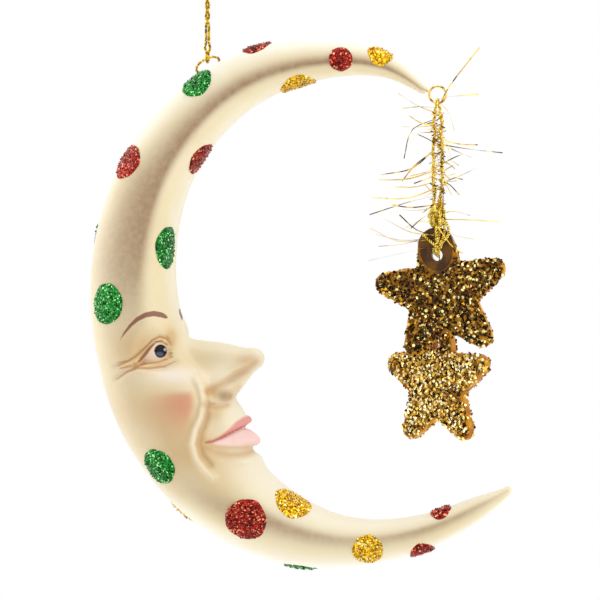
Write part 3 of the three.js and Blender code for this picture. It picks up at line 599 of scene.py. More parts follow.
# %% [markdown]
# ## The face
#
# The nose, lips, chin, cheeks and eyes are large clay shapes. The finer forms are drawn as the
# photograph shows them: lines on a sheet seen from the camera's side, in photograph pixels,
# which press into the clay or raise it, the same on both sides of the face.

# %% A sheet to draw on
def sheet_places(p):
    """Where each point lies on the drawing sheet, in pixels across and down."""
    world = p + MOON_CENTRE
    across = world[:, 0] * math.cos(VIEW_TURN) - np.abs(world[:, 1]) * math.sin(VIEW_TURN)
    down = BEARING_DOWN - (world[:, 2] - BEARING[2]) / PIXEL
    return np.stack([across / PIXEL + BEARING_ACROSS, down], 1)


def line_distance(place, points):
    """Distance in pixels to a line whose points are across, down and half its width."""
    nearest = np.full(len(place), 1e9)
    for a, b in zip(points, points[1:]):
        a, b = np.array(a, float), np.array(b, float)
        step = b[:2] - a[:2]
        t = np.clip((place - a[:2]) @ step / (step @ step), 0, 1)
        away = np.linalg.norm(place - a[:2] - t[:, None] * step, axis=1)
        nearest = np.minimum(nearest, away - (a[2] + (b[2] - a[2]) * t))
    return nearest


def patch_distance(place, points):
    """Distance in pixels to the edge of a closed patch, negative inside it."""
    ring = np.array(points + points[:1], float)
    inside = np.zeros(len(place), bool)
    nearest = np.full(len(place), 1e9)
    for a, b in zip(ring, ring[1:]):
        step = b - a
        t = np.clip((place - a) @ step / (step @ step), 0, 1)
        nearest = np.minimum(nearest, np.linalg.norm(place - a - t[:, None] * step, axis=1))
        crosses = (a[1] > place[:, 1]) != (b[1] > place[:, 1])
        rise = step[1] if step[1] else 1e-9
        inside ^= crosses & (place[:, 0] < a[0] + (place[:, 1] - a[1]) * step[0] / rise)
    return np.where(inside, -nearest, nearest)


# %% Lines of the face
EYE_OPENING = [(134, 366), (141, 361), (147.4, 354), (153.8, 345.6), (159.5, 341.2), (166.3, 343.8),
               (170, 350), (172.5, 357.5), (166.5, 359.4), (158.9, 361.6), (150, 362.8), (141, 364.4)]
UPPER_CREASE = [(118, 366, 0.2), (127, 362, 0.3), (134.6, 357.6, 0.4), (144.8, 348.8, 0.5),
                (152.5, 340.5, 0.5), (159.5, 336.6, 0.5), (167, 338.6, 0.4), (171, 345, 0.2)]
LOWER_CREASE = [(118, 379, 0.2), (128, 371.6, 0.4), (138.5, 367.7, 0.5), (151, 368, 0.5),
                (165, 366.5, 0.5), (176, 361, 0.2)]
WING_CREASE = [(258, 360.5, 0.1), (245, 369.5, 0.5), (231, 378.5, 0.9), (218, 386, 1.1),
               (212, 389.5, 0.6)]
NOSE_SIDE = [(203, 380, 0.4), (215, 375, 1.2), (229, 369, 1.2), (243, 361.5, 0.4)]
NOSTRIL = [(227, 395.5, 1.6), (222, 397.4, 1.2)]
WING_FOOT = [(205.5, 400, 0.3), (208, 405, 0.7), (216, 406.6, 0.6), (226, 405.4, 0.2)]
SMILE_FOLD = [(197.5, 378, 0.4), (202.5, 388, 1), (205.4, 402.4, 1.2), (201.5, 417.8, 1.4),
              (195.9, 430.5, 1.5), (193.3, 443, 1.5), (197, 457, 1.2), (205, 468, 0.8),
              (214, 476, 0.3)]
SMILE_HOLLOW = [(207, 404, 0.3), (206, 419, 0.6), (200.5, 432, 0.8), (199, 443, 0.8),
                (202.5, 455, 0.6), (211, 465, 0.3)]
MOUTH_LINE = [(206, 441.6, 0.2), (213, 440.9, 0.4), (221, 437.6, 0.5), (231, 432.9, 0.5),
              (241, 428, 0.5), (250, 425.2, 0.4)]
UNDER_LIP = [(219, 451, 0.3), (229, 454, 0.6), (243, 454.5, 0.8), (256, 451.5, 0.6)]
CHIN_FOLD = [(224, 459.5, 0.2), (236, 463.5, 0.4), (248, 462, 0.2)]
# Line, how deep it presses in, in millimetres (a raised line is negative), and how soft it is.
CARVED_LINES = [
    (UPPER_CREASE, 0.55, 2.0), (LOWER_CREASE, 0.5, 2.2), (WING_CREASE, 0.9, 4.0),
    (NOSE_SIDE, -0.5, 6.0), (NOSTRIL, 0.55, 3.4), (WING_FOOT, 0.6, 2.4), (SMILE_FOLD, -1.25, 3.4),
    (SMILE_HOLLOW, 0.9, 3.0), (MOUTH_LINE, 0.8, 1.6), (UNDER_LIP, 0.6, 3.2), (CHIN_FOLD, 0.4, 2.2)]

# %% Clay forms of the face
FACE_PLACE = np.array([-41.61, 0, -21.2])
EYE_BALL, EYE_RADIUS = (-13.4, 7.8, 7.7), 6.0
EYE_LOOKS = np.array([0.63, 0.775, 0.03])
LID_THICKNESS = 0.75


def on_the_face(f):
    """Which points the forms and the paint of the face can reach."""
    return (f[:, 0] > -26) & (f[:, 0] < 34) & (f[:, 2] > -42) & (f[:, 2] < 28)


def mirrored(f):
    """Points of the near half brought to the far side, so that one half serves both."""
    return f * [1, 0, 1] + np.abs(f) * [0, 1, 0]


def nose(p):
    bridge = bar(p, [-6, 0, 7.6, 4.2], [15.9, 0, 5.9, 2.3])
    under = bar(p, [15.2, 0, 5.2, 2.3], [8.4, 0, -3.2, 2.0])
    fill = ellipsoid(p, (4.5, 0, 2.4), (7.5, 5, 6))
    wing = ellipsoid(p, (4.6, 3.6, -3.2), (5.0, 3.4, 3.6))
    return blend(blend(blend(bridge, under, 3), fill, 4), wing, 3.4)


def mouth(p):
    muzzle = ellipsoid(p, (4.4, 0, -13.4), (8.8, 10.8, 9))
    chin = ellipsoid(p, (11.4, 0, -24.6), (6.4, 8.6, 5.6))
    upper = [([13.3, 0, -12, 1.5], [9.6, 5.4, -14, 1.4]),
             ([9.6, 5.4, -14, 1.4], [3.9, 9.6, -17.3, 0.6])]
    lower = [([15.7, 0, -17.6, 1.6], [10.8, 5.8, -17.7, 1.7]),
             ([10.8, 5.8, -17.7, 1.7], [4.2, 9.7, -18.2, 0.6]),
             ([13.9, 0, -15.8, 1.3], [10.2, 5.2, -16.3, 1.2]),
             ([14.9, 0, -16.7, 1.5], [10.6, 5.5, -17, 1.5])]
    lips = np.minimum.reduce([bar(p, *ends) for ends in upper + lower])
    return blend(blend(muzzle, chin, 4), lips, 1.1)


def eye(p, skin, place):
    """Brow and socket in the skin, then a lidded ball, cut open where the lids part."""
    brow = bar(p, [-8.4, 3, 13.6, 2.6], [-13.4, 10.4, 13.4, 3])
    socket = ellipsoid(p, (-8.4, 15, 8.4), (6.4, 3.4, 4.6))
    skin = carve(blend(skin, brow, 4), socket, 4)
    from_ball = np.linalg.norm(p - np.array(EYE_BALL), axis=1)
    lidded = blend(skin, from_ball - EYE_RADIUS - LID_THICKNESS, 2.2)
    in_front = 1 - (p - np.array(EYE_BALL)) @ EYE_LOOKS
    cut = np.maximum.reduce([patch_distance(place, EYE_OPENING) * PIXEL,
                             from_ball - EYE_RADIUS - 3, in_front])
    return np.minimum(carve(lidded, cut, 0.5), from_ball - EYE_RADIUS)


def moon_distance(p):
    """Negative inside the casting. p is about the crescent's centre, in millimetres."""
    result = crescent(p)
    zone = on_the_face(p - FACE_PLACE)
    f = mirrored((p - FACE_PLACE)[zone])
    place = sheet_places(p[zone])
    skin = blend(result[zone], ellipsoid(f, (-4.4, 8.6, -4.6), (7.4, 7.2, 9.8)), 4)
    skin = blend(skin, mouth(f), 2.2)
    skin = blend(eye(f, skin, place), nose(f), 2.4)
    for line, depth, soft in CARVED_LINES:
        away = np.maximum(line_distance(place, line), 0) / soft
        skin = skin + depth * np.exp(-away * away)
    result[zone] = skin
    return result


def slope(p, h=0.03):
    """The direction straight out of the casting, not yet made one long."""
    ways = np.eye(3) * h
    rises = [moon_distance(p + way) - moon_distance(p - way) for way in ways]
    return np.stack(rises, 1) / (2 * h)


def straight_out(p, h=0.03):
    g = slope(p, h)
    return g / np.maximum(np.linalg.norm(g, axis=1), 1e-6)[:, None]


# %% [markdown]
# ## A skin over the form
#
# The skin starts as a flat grid. Its rows go round the section and its columns along the
# crescent. Rays from a bent line inside the casting find the surface, and then the points slide
# along it until they are evenly spread, as a sculptor's remesh does. Where rows have crossed in a
# narrow hollow, the points round there slide on until they lie flat. A grid keeps the rows close
# together on the face and wide on the horns, which no voxel remesh would.

# %% The line inside the casting
# Direction, then where the line's inner end lies in the face, and how it looks out there.
FACE_LINE = np.array([
    (184, -9.6, 13.2, 4), (187, -8, 10.5, 25), (189, -4.5, 8.8, 65), (192, 3, 7, 80),
    (195, 9.5, 6, 78), (197, 13.6, 5.4, 50), (198.5, 14.6, 5.1, 5), (200, 13.8, 3.6, -35),
    (203, 10.2, -0.6, -42), (206, 7.6, -3.6, -25), (209, 6.6, -6.2, 0), (212, 8, -8.6, 18),
    (216, 11.6, -11.4, 25), (220, 10.6, -14.2, 0), (223, 14.2, -16.4, 20),
    (226, 14.6, -17.6, -10), (229, 12.4, -20, -8), (233, 12.2, -22.8, 15), (238, 12.8, -26, 32),
    (246, 16.2, -33, 66)])


def pointing(degrees):
    t = np.radians(degrees)
    return np.stack([np.cos(t), 0 * t, np.sin(t)], 1)


def inner_line(angle):
    """Outer end, bend and inner end of the line in each section, and the way each end looks."""
    ridge, outward, inward, _ = section(angle)
    out = pointing(angle)
    near = np.minimum(np.clip((angle - 168) / 20, 0, 1), 1 - np.clip((angle - 242) / 16, 0, 1))
    outer = out * (ridge + 0.3 * outward)[:, None]
    share = 0.02 - 0.67 * near
    bend = out * (ridge + share * np.where(share > 0, outward, inward))[:, None]
    plain = out * (ridge - (0.2 + 0.53 * near) * inward)[:, None]
    forward, up, tilt = (along(FACE_LINE, k, angle) for k in (1, 2, 3))
    faced = FACE_PLACE + np.stack([forward, 0 * up, up], 1)
    on_face = ((angle >= FACE_LINE[0, 0]) & (angle <= FACE_LINE[-1, 0]))[:, None]
    looks = np.where(on_face, pointing(tilt), -out)
    return outer, bend, np.where(on_face, faced, plain), out, looks


FACE_FROM, FACE_TO, FACE_CLOSENESS = 180, 250, 3


def row_angles(count):
    """Rows that are three times as close on the face as on the horns."""
    fine = np.linspace(UPPER_TIP, LOWER_TIP, 4000)
    ends = inner_line(fine)[:3]
    moved = np.max([np.linalg.norm(np.diff(e, axis=0), axis=1) for e in ends], axis=0)
    middle = (fine[1:] + fine[:-1]) / 2
    on_face = (middle > FACE_FROM) & (middle < FACE_TO)
    moved = np.minimum(moved, 0.2) * np.where(on_face, FACE_CLOSENESS, 1)
    run = np.concatenate([[0], np.cumsum(moved)])
    return np.interp(np.linspace(0, run[-1], count), run, fine)


# %% Rays round each section
OUTER_RAYS, BODY_RAYS, FACE_RAYS, INNER_RAYS = 16, 15, 16, 14


def section_rays(angle):
    """Starts and directions, rows by columns: outer arc, near side, inner arc, far side."""
    outer, bend, inner, out, looks = inner_line(angle)
    starts, ways = [], []

    def fan(start, middle, first, count):
        for t in np.radians(first + 180 * np.arange(count) / count):
            starts.append(start)
            ways.append(middle * math.cos(t) + np.array([0, math.sin(t), 0]))

    def side(way, first, last, count):
        for t in np.arange(count) / count:
            starts.append(first + (last - first) * t)
            ways.append(np.tile([0.0, way, 0.0], (len(angle), 1)))

    fan(outer, -out, 90, OUTER_RAYS)
    side(-1, outer, bend, BODY_RAYS)
    side(-1, bend, inner, FACE_RAYS)
    fan(inner, looks, -90, INNER_RAYS)
    side(1, inner, bend, FACE_RAYS)
    side(1, bend, outer, BODY_RAYS)
    return np.stack(starts, 1), np.stack(ways, 1)


def cast(start, way):
    """Where rays from inside the casting first come out of it."""
    flat, line = start.reshape(-1, 3), way.reshape(-1, 3)
    reach = np.full(len(flat), 0.05)
    for _ in range(45):
        reach += np.clip(-moon_distance(flat + line * reach[:, None]) * 0.6, -0.3, 2)
    return (flat + line * reach[:, None]).reshape(start.shape)


# %% Round off the horns and spread the points
def leaned(angle, sign, tilt):
    """Rays that lean out of the last section, to round off a horn."""
    start, way = section_rays(np.array([angle]))
    t = math.radians(angle)
    ahead = np.array([-math.sin(t), 0, math.cos(t)]) * sign
    return cast(start, way * math.cos(math.radians(tilt)) + ahead * math.sin(math.radians(tilt)))


def pull_to_surface(p, rounds):
    for _ in range(rounds):
        g = slope(p)
        p = p - g * (moon_distance(p) / np.maximum((g * g).sum(1), 0.2))[:, None]
    return p


def relax(grid, rounds):
    """Moves each point along the surface towards the middle of its four neighbours."""
    for _ in range(rounds):
        middle = (np.roll(grid, 1, 1) + np.roll(grid, -1, 1))[1:-1] + grid[2:] + grid[:-2]
        p = grid[1:-1].reshape(-1, 3)
        move = middle.reshape(-1, 3) / 4 - p
        n = straight_out(p)
        p = p + 0.6 * (move - n * (move * n).sum(1)[:, None])
        p = p - n * moon_distance(p)[:, None]
        grid = np.concatenate([grid[:1], p.reshape(grid[1:-1].shape), grid[-1:]])
    return grid


# %% Unfold crossed rows
def turned_over(grid, out, around):
    """Points where rows have crossed, so that the grid looks inwards, and some round them."""
    face = np.cross(grid[1:] - grid[:-1], (np.roll(grid, -1, 1) - grid)[:-1])
    looks = (face * out[:-1]).sum(2)
    looks[:5] = looks[-5:] = 0
    bad = np.zeros(grid.shape[:2], bool)
    bad[:-1] = looks * np.sign(np.median(looks)) < 0
    for _ in range(around):
        grown = bad | np.roll(bad, 1, 1) | np.roll(bad, -1, 1)
        grown[1:] |= bad[:-1]
        grown[:-1] |= bad[1:]
        bad = grown
    bad[[0, -1]] = False
    return bad


def unfold(grid, rounds):
    """Relaxes the grid only where its rows have crossed, until none do or the rounds are over."""
    out = straight_out(grid.reshape(-1, 3)).reshape(grid.shape)
    before = turned_over(grid, out, 0).sum()
    for _ in range(rounds):
        bad = turned_over(grid, out, 4)
        if not bad.any():
            break
        beside = np.roll(grid, 1, 1) + np.roll(grid, -1, 1)
        middle = beside + np.roll(grid, 1, 0) + np.roll(grid, -1, 0)
        move = middle[bad] / 4 - grid[bad]
        p = grid[bad] + 0.8 * (move - out[bad] * (move * out[bad]).sum(1)[:, None])
        n = straight_out(p)
        grid[bad] = p - n * moon_distance(p)[:, None]
        out[bad] = n
    print("crossed points:", before, "then", turned_over(grid, out, 0).sum())
    return grid


# %% Make the grid
def refine(grid):
    """Twice the rows and columns."""
    wide = np.stack([grid, (grid + np.roll(grid, -1, 1)) / 2], 2).reshape(len(grid), -1, 3)
    tall = np.zeros((2 * len(wide) - 1, wide.shape[1], 3))
    tall[::2] = wide
    tall[1::2] = (wide[1:] + wide[:-1]) / 2
    return tall


ROWS = 200
CAP_TILTS = (35, 65, 90)
upper_cap = [leaned(UPPER_TIP, -1, tilt) for tilt in reversed(CAP_TILTS)]
lower_cap = [leaned(LOWER_TIP, 1, tilt) for tilt in CAP_TILTS]
for pole in (upper_cap[0], lower_cap[-1]):
    pole[:] = pole.mean(axis=(0, 1))
grid = np.concatenate(upper_cap + [cast(*section_rays(row_angles(ROWS)))] + lower_cap)
grid = unfold(relax(grid, 8), 200)
grid = refine(grid)
grid[1:-1] = pull_to_surface(grid[1:-1].reshape(-1, 3), 2).reshape(grid[1:-1].shape)
grid = unfold(relax(grid, 3), 60)
print("moon grid:", grid.shape[0], "rows of", grid.shape[1])

# %% Close the grid into a skin
bm = bmesh.new()
rows, columns = grid.shape[:2]
bmesh.ops.create_grid(bm, x_segments=columns, y_segments=rows - 1, size=1)
wrapped = np.concatenate([grid, grid[:, :1]], axis=1).reshape(-1, 3) + MOON_CENTRE
for vert, place in zip(bm.verts, wrapped):
    vert.co = place
bmesh.ops.remove_doubles(bm, verts=bm.verts, dist=1e-4)
bmesh.ops.recalc_face_normals(bm, faces=bm.faces)
open_edges = len([e for e in bm.edges if e.is_boundary])
print("moon skin:", len(bm.verts), "points,", open_edges, "open edges")

# %% [markdown]
# ## Paint on the moon
#
# The casting is sprayed cream and painted darker tan in its hollows. Along the near ridge runs a
# band of painted shade, partly a tan wash, and its edges get painted highlights. Then the face is
# painted by hand: blush, brows, lids, eyes and lips. Over it go painted shade in the folds of the
# nose, lips and smile, round the nose and on the jaw, and painted highlights on the cheek, the
# smile fold and the eye. Each painted patch is stored on the skin as a distance to its edge. The
# material turns it into a crisp or a soft edge, which stays sharp between the points of the mesh.

# %% Lines and patches of paint
BROW = [(120.5, 341, 0.2), (125, 333.6, 0.9), (131.5, 325.5, 1.5), (138.5, 319.2, 2.0),
        (146.5, 315, 2.4), (154.5, 313.6, 2.6), (162, 315, 2.5), (166.6, 317.4, 1.5)]
FAR_BROW = [(178.6, 309.5, 0.7), (179.8, 315, 1.7), (180.6, 321.5, 0.8)]
UPPER_LIP = [(209, 441.4), (219, 436.6), (229, 428.6), (236, 421.6), (243, 417.2), (250, 414.6),
             (258, 420), (254, 425), (249.4, 425.8), (240.5, 428.4), (230.3, 433.4), (218.8, 438.6)]
LOWER_LIP = [(211, 441.8), (218.8, 439), (230.3, 434), (240.5, 428.8), (249.4, 426), (258, 427),
             (268, 436), (264, 446), (253.3, 445.4), (234, 445.4), (217.6, 444)]
LASH_LINE = [(134, 364.5, 0.3), (140, 360.5, 1.0), (146, 354, 1.5), (151, 347.5, 1.3),
             (156, 342.2, 0.7), (162, 340.6, 0.4), (168, 344.5, 0.3)]
FOLD_LINES = [UPPER_CREASE, LOWER_CREASE, [(120, 368.5, 0.1), (128, 366.5, 0.5), (138, 364.5, 0.3)],
              [(119, 362.5, 0.1), (125, 361.6, 0.4), (131, 360, 0.2)],
              [(141, 364.6, 0.2), (150, 363.2, 0.4), (160, 362, 0.3), (168, 358.8, 0.1)]]
# Lines of painted shade in the folds of the nose, the lips and the smile.
CREASE_SHADE_LINES = [[(256, 362, 0.1), (245, 369.5, 0.8), (231, 378.5, 1.2), (218, 386, 1.2),
                 (208, 391, 0.8)],
                [(204, 404, 0.1), (208, 406, 0.8), (217, 407, 0.6), (227, 405, 0.1)],
                [(206, 446, 0.2), (218, 451.6, 0.6), (230, 454, 0.8), (244, 454, 0.5), (252, 452, 0.1)],
                [(212, 445.4, 0.1), (226, 447, 0.4), (248, 447, 0.2)],
                [(208.5, 402, 0.1), (208, 416, 0.8), (203, 430, 1.4), (200.4, 443, 1.2),
                 (204, 455, 0.5), (212, 464, 0.1)]]
BLUSH = [(142, 396), (158, 392), (176, 390), (193, 389.4), (196, 396), (196.5, 407), (191, 421),
         (184, 440), (142, 440)]
LIDS = [(121, 365), (134.6, 358.6), (144.8, 350), (152.5, 341.6), (159.5, 337.8), (166.8, 339.8),
        (171, 346), (174, 358), (166, 365.6), (151, 367.4), (138.5, 367), (128, 370.5)]
# Soft spots: strength, middle and radii. The first list is tan paint, partly painted shade in the
# eye socket, round and under the nose and at the mouth. The second is painted shade on the
# cheek, jaw and chin, partly tan paint.
TAN_AND_SHADE_SPOTS = [
    (1.1, (171, 338), (7, 13)), (0.9, (142, 348), (34, 22)), (0.4, (214, 358), (36, 12)),
    (0.7, (248, 360), (17, 8)), (0.6, (242, 373), (15, 10)), (0.7, (222, 394), (19, 13)),
    (0.9, (209, 392), (7, 6)), (0.8, (214, 413), (13, 10)), (0.7, (207, 441), (9, 9)),
    (0.6, (248, 451), (13, 6)), (0.5, (238, 388), (8, 9))]
SHADE_SPOTS = [(1, (180, 440), (30, 40)), (0.3, (222, 488), (26, 20)), (0.8, (160, 408), (58, 32)),
               (0.75, (216, 454), (38, 28))]

# %% Painted shade along the ridge, partly a tan wash, and painted highlights on the edges
# Direction from the centre, how dark the painted shade, partly a tan wash, is along the near
# ridge there, how far it fades outward round the section, how far the painted highlight on the
# outer edge reaches, where the one on the inner edge starts, and how far the shade fades inward.
# The last four are degrees round the section.
RIDGE_SHADE_TABLE = np.array([
    (69.6, 0.55, 18, 62, 140, 13), (80, 1, 17, 72, 140, 13), (95, 1, 15, 78, 130, 13),
    (118, 1, 17, 74, 130, 14), (140, 1, 26, 60, 135, 16), (155, 1, 44, 42, 140, 19),
    (170, 0.85, 56, 36, 145, 20), (178, 0.6, 56, 36, 145, 22), (188, 0.36, 50, 40, 145, 24),
    (200, 0.28, 46, 44, 145, 24), (225, 0.3, 40, 44, 130, 22), (234, 0.45, 22, 52, 112, 16),
    (250, 0.8, 18, 58, 98, 13), (262, 0.72, 17, 60, 94, 12), (276, 0.5, 17, 60, 94, 12),
    (290, 0.7, 17, 58, 96, 13), (304, 0.5, 18, 56, 100, 14), (311.8, 0.1, 18, 56, 110, 14)])
RIDGE_TURN, RIDGE_SHIFT_ON_FACE, FACE_MIDDLE, FACE_REACH = 92, 34, 216, 30


def round_section(p):
    """Degrees round its section, from 0 at the outer edge to 180 at the inner one."""
    angle = np.clip(direction(p), UPPER_TIP, LOWER_TIP)
    ridge, outward, inward, half = section(angle)
    off = np.hypot(p[:, 0], p[:, 2]) - ridge
    off = off / np.where(off > 0, outward, inward)
    return np.degrees(np.arctan2(np.abs(p[:, 1]) / half, off)), angle


def ridge_shade_and_highlights(p):
    """The painted shade along the near ridge, partly a tan wash, and the painted highlights on the
    edges outside and inside it.
    """
    turn, angle = round_section(p)
    # Painted shade along the near ridge, partly a tan wash, with painted highlights on both edges.
    wash, outward, white, inner, inward = (along(RIDGE_SHADE_TABLE, k, angle) for k in range(1, 6))
    face = np.clip(1 - np.abs(angle - FACE_MIDDLE) / FACE_REACH, 0, 1) ** 0.5
    from_ridge = turn - RIDGE_TURN + RIDGE_SHIFT_ON_FACE * face
    band = np.exp(-((from_ridge / np.where(from_ridge < 0, outward, inward)) ** 2))
    return {"ridge_shade_and_wash": band * wash, "outer_edge_highlight": np.clip(1.2 * (1 - turn / white), 0, 1),
            "inner_edge_highlight": np.clip((turn - inner) / 46, 0, 1)}


# %% Measure the paint
IRIS_MIDDLE, IRIS_RADIUS = (161, 351.1), 6.3
GLINT_MIDDLE, GLINT_RADIUS = (165.4, 349.6), 1.5
NO_PAINT = 50


def soft_spot(place, centre, radii):
    """One in the middle of a soft oval and almost nothing past its edge."""
    q = (place - np.array(centre, float)) / np.array(radii, float)
    return np.exp(-1.6 * (q * q).sum(1))


def soft_spots(place, spots):
    return np.clip(sum(strength * soft_spot(place, *oval) for strength, *oval in spots), 0, 1)


def nearest_line(place, lines):
    return np.minimum.reduce([line_distance(place, line) for line in lines])


def hollowness(p, place, zone):
    """How deep each point lies in a hollow, from how soon a step straight out comes near clay."""
    n = straight_out(p, 0.15)
    steps = (0.8, 2.4)
    hollow = sum(np.clip((step - moon_distance(p + n * step)) / step, 0, 1) for step in steps) / 2
    return hollow * (1 - zone * np.clip(0.5 + soft_spot(place, (158, 353), (19, 15)), 0, 0.9))


def measure_paint(p):
    """Each paint's distance in pixels, or its strength, at each point of the skin."""
    place = sheet_places(p)
    zone = on_the_face(p - FACE_PLACE)
    ball = np.linalg.norm(mirrored(p - FACE_PLACE) - np.array(EYE_BALL), axis=1) - EYE_RADIUS
    open_eye = np.maximum(patch_distance(place, EYE_OPENING), (ball - 0.12) / PIXEL)
    iris = np.sqrt(((place - IRIS_MIDDLE) ** 2 / np.array([1, 1.12])).sum(1)) - IRIS_RADIUS
    glint = np.linalg.norm(place - GLINT_MIDDLE, axis=1) - GLINT_RADIUS
    # The sheet is the same on both sides. The far brow's end is drawn where the camera itself
    # sees it past the forehead, so there the sheet's mirroring is undone.
    unmirrored = place + 2 * (p[:, 1:2] * [1, 0]) * math.sin(VIEW_TURN) / PIXEL
    far_brow = np.where(p[:, 1] > 0.5, line_distance(unmirrored, FAR_BROW), NO_PAINT)
    paint = {
        "hollow": hollowness(p, place, zone),
        **ridge_shade_and_highlights(p),
        "brow": np.minimum(line_distance(place, BROW), far_brow),
        "lids": patch_distance(place, LIDS),
        "upper_lip": patch_distance(place, UPPER_LIP),
        "lower_lip": patch_distance(place, LOWER_LIP),
        "mouth_line": line_distance(place, MOUTH_LINE),
        "folds": nearest_line(place, FOLD_LINES),
        "lashes": line_distance(place, LASH_LINE),
        "open_eye": open_eye,
        "iris": np.maximum(iris, open_eye),
        "glint": np.maximum(glint, open_eye),
        "iris_light": np.maximum(
            np.linalg.norm((place - [160, 354.6]) / [1, 0.66], axis=1) - 4, iris + 1),
        "blush": soft_spot(place, (187, 402), (36, 30)),
        "blush_edge": patch_distance(place, BLUSH),
        "crease_shade": nearest_line(place, CREASE_SHADE_LINES),
        # A painted highlight along the raised smile fold.
        "fold_highlight": line_distance(place, SMILE_FOLD),
        # Painted shade where the nose's opening is, which is only a shallow dimple in the clay.
        "nostril": soft_spot(place, (224.6, 396), (9, 6)),
        # A painted highlight on the cheek under the eye.
        "pale_cheek": soft_spot(place, (176, 375), (34, 12)),
        "warm": soft_spots(place, TAN_AND_SHADE_SPOTS),
        "shade": soft_spots(place, SHADE_SPOTS),
    }
    everywhere = ("hollow", "ridge_shade_and_wash", "outer_edge_highlight", "inner_edge_highlight", "shade")
    elsewhere = {name: paint[name] for name in everywhere}
    elsewhere.update(blush=0, pale_cheek=0, warm=0, nostril=0)
    return {name: np.where(zone, value, elsewhere.get(name, NO_PAINT))
            for name, value in paint.items()}


# %% Moon paint
# Painted layers: where each starts and is full, in pixels from its edge, colour, strength. The first
# is painted shade along the folds, the glint is a painted highlight, and the rest are the face's
# hand paint.
LAYERS = [
    ("crease_shade", 6.0, -2.6, srgb(202, 158, 104), 0.62),
    ("upper_lip", 1.6, -2.0, srgb(234, 148, 144), 0.9),
    ("lower_lip", 1.4, -1.8, srgb(254, 216, 210), 0.95),
    ("mouth_line", 1.2, 0.0, srgb(192, 84, 76), 0.85),
    ("lids", 1.6, -2.2, srgb(240, 198, 136), 0.6),
    ("folds", 1.3, -0.2, srgb(176, 112, 58), 0.7),
    ("open_eye", 0.3, -0.4, srgb(248, 222, 196), 1.0),
    ("lashes", 0.6, -0.3, srgb(150, 88, 58), 0.9),
    ("iris", 0.3, -0.3, srgb(22, 18, 22), 1.0),
    ("iris_light", 1.6, -2.0, srgb(96, 106, 124), 0.8),
    ("glint", 0.5, -0.6, srgb(196, 210, 226), 0.9),
    ("brow", 0.5, -0.4, srgb(134, 80, 56), 0.95)]


def cream_wash_and_painted_light(tree, streaks):
    """Sprayed cream with painted highlights on its edges, cheek and smile fold, painted shade partly
    mixed with tan paint, the blush, and darker tan in the hollows.
    """
    def strength(name, share):
        return times(tree, painted(tree, name), share)

    blobs = fade(tree, noise(tree, 16, 3.0), 0.35, 0.7, 0.0, 0.5)
    # Painted shade along the near ridge, partly a tan wash.
    shaded_ridge = times(tree, painted(tree, "ridge_shade_and_wash"), fade(tree, streaks, 0.25, 0.7, 0.84, 1.0))
    blush = times(tree, painted(tree, "blush"), fade(tree, painted(tree, "blush_edge"), 2, -7))
    fold_highlight = fade(tree, painted(tree, "fold_highlight"), 3.2, -0.5)
    in_hollows = times(tree, fade(tree, painted(tree, "hollow"), 0.12, 0.75),
                       fade(tree, streaks, 0.2, 0.6, 0.6, 1.0))
    colour = mix_colours(tree, blobs, srgb(248, 234, 196), srgb(238, 218, 168))
    for share, paint in [
            # Painted highlights on the inner and outer edges, then the ridge's painted shade.
            (strength("inner_edge_highlight", 0.8), srgb(254, 247, 226)),
            (painted(tree, "outer_edge_highlight"), srgb(255, 253, 246)),
            (shaded_ridge, srgb(168, 136, 102)),
            # Painted shade on the cheek, jaw and chin, partly tan paint.
            (strength("shade", 0.7), srgb(212, 174, 118)),
            (strength("pale_cheek", 0.85), srgb(255, 243, 228)),
            (times(tree, blush, 0.85), srgb(218, 146, 112)),
            # Tan paint, partly painted shade round the eye, the nose and the mouth.
            (strength("warm", 0.8), srgb(216, 176, 116)),
            (times(tree, fold_highlight, 0.75), srgb(255, 241, 210)),
            (strength("nostril", 0.8), srgb(166, 140, 104)),
            (in_hollows, srgb(196, 148, 92))]:
        colour = mix_colours(tree, share, colour, paint)
    return colour


def moon_paint():
    """Cream, tan, painted shade and highlights, then the painted layers and a few dark specks."""
    material, tree, shader = new_material("moon_paint", Roughness=0.42, Specular_IOR_Level=0.5)
    streaks = noise(tree, 1.6, 4.0, 0.6)
    colour = cream_wash_and_painted_light(tree, streaks)
    for name, start, end, paint, strength in LAYERS:
        share = times(tree, fade(tree, painted(tree, name), start, end), strength)
        colour = mix_colours(tree, share, colour, paint)
    grain = cells(tree, 9)
    chance = first_channel(tree, grain["Color"])
    speck = times(tree, fade(tree, grain["Distance"], 0.035, 0.02), fade(tree, chance, 0.6, 0.62))
    colour = mix_colours(tree, times(tree, speck, 0.7), colour, srgb(132, 100, 72))
    tree.links.new(colour, shader.inputs["Base Color"])
    wet = fade(tree, painted(tree, "open_eye"), 0.2, -0.2, 0.42, 0.3)
    tree.links.new(wet, shader.inputs["Roughness"])
    shine = fade(tree, painted(tree, "iris"), 0.2, -0.2, 0.5, 0.12)
    tree.links.new(shine, shader.inputs["Specular IOR Level"])
    add_bumps(tree, shader, 0.35, 0.12, streaks)
    return material


moon_mesh = finish_mesh(bm, "painted_moon", moon_paint())
spots = np.empty(len(moon_mesh.vertices) * 3)
moon_mesh.vertices.foreach_get("co", spots)
for name, values in measure_paint(spots.reshape(-1, 3) / MM - MOON_CENTRE).items():
    moon_mesh.attributes.new(name, "FLOAT", "POINT").data.foreach_set("value", values)
add_piece("painted_moon", moon_mesh, "moon", ["moon_casting"])

# %% [markdown]
# ## Glitter dots
#
# Glue is dabbed on in a round spot and dipped in glitter, so a dot is a thin cushion with a
# crust of tiny foil flakes. The cushion is a round grid laid on the moon's skin. Loose flakes,
# each a small pentagon at its own tilt, catch the light one by one on top.

# %% Glitter finish
CELL_SIZE, CELL_TILT = 0.42, 1.3


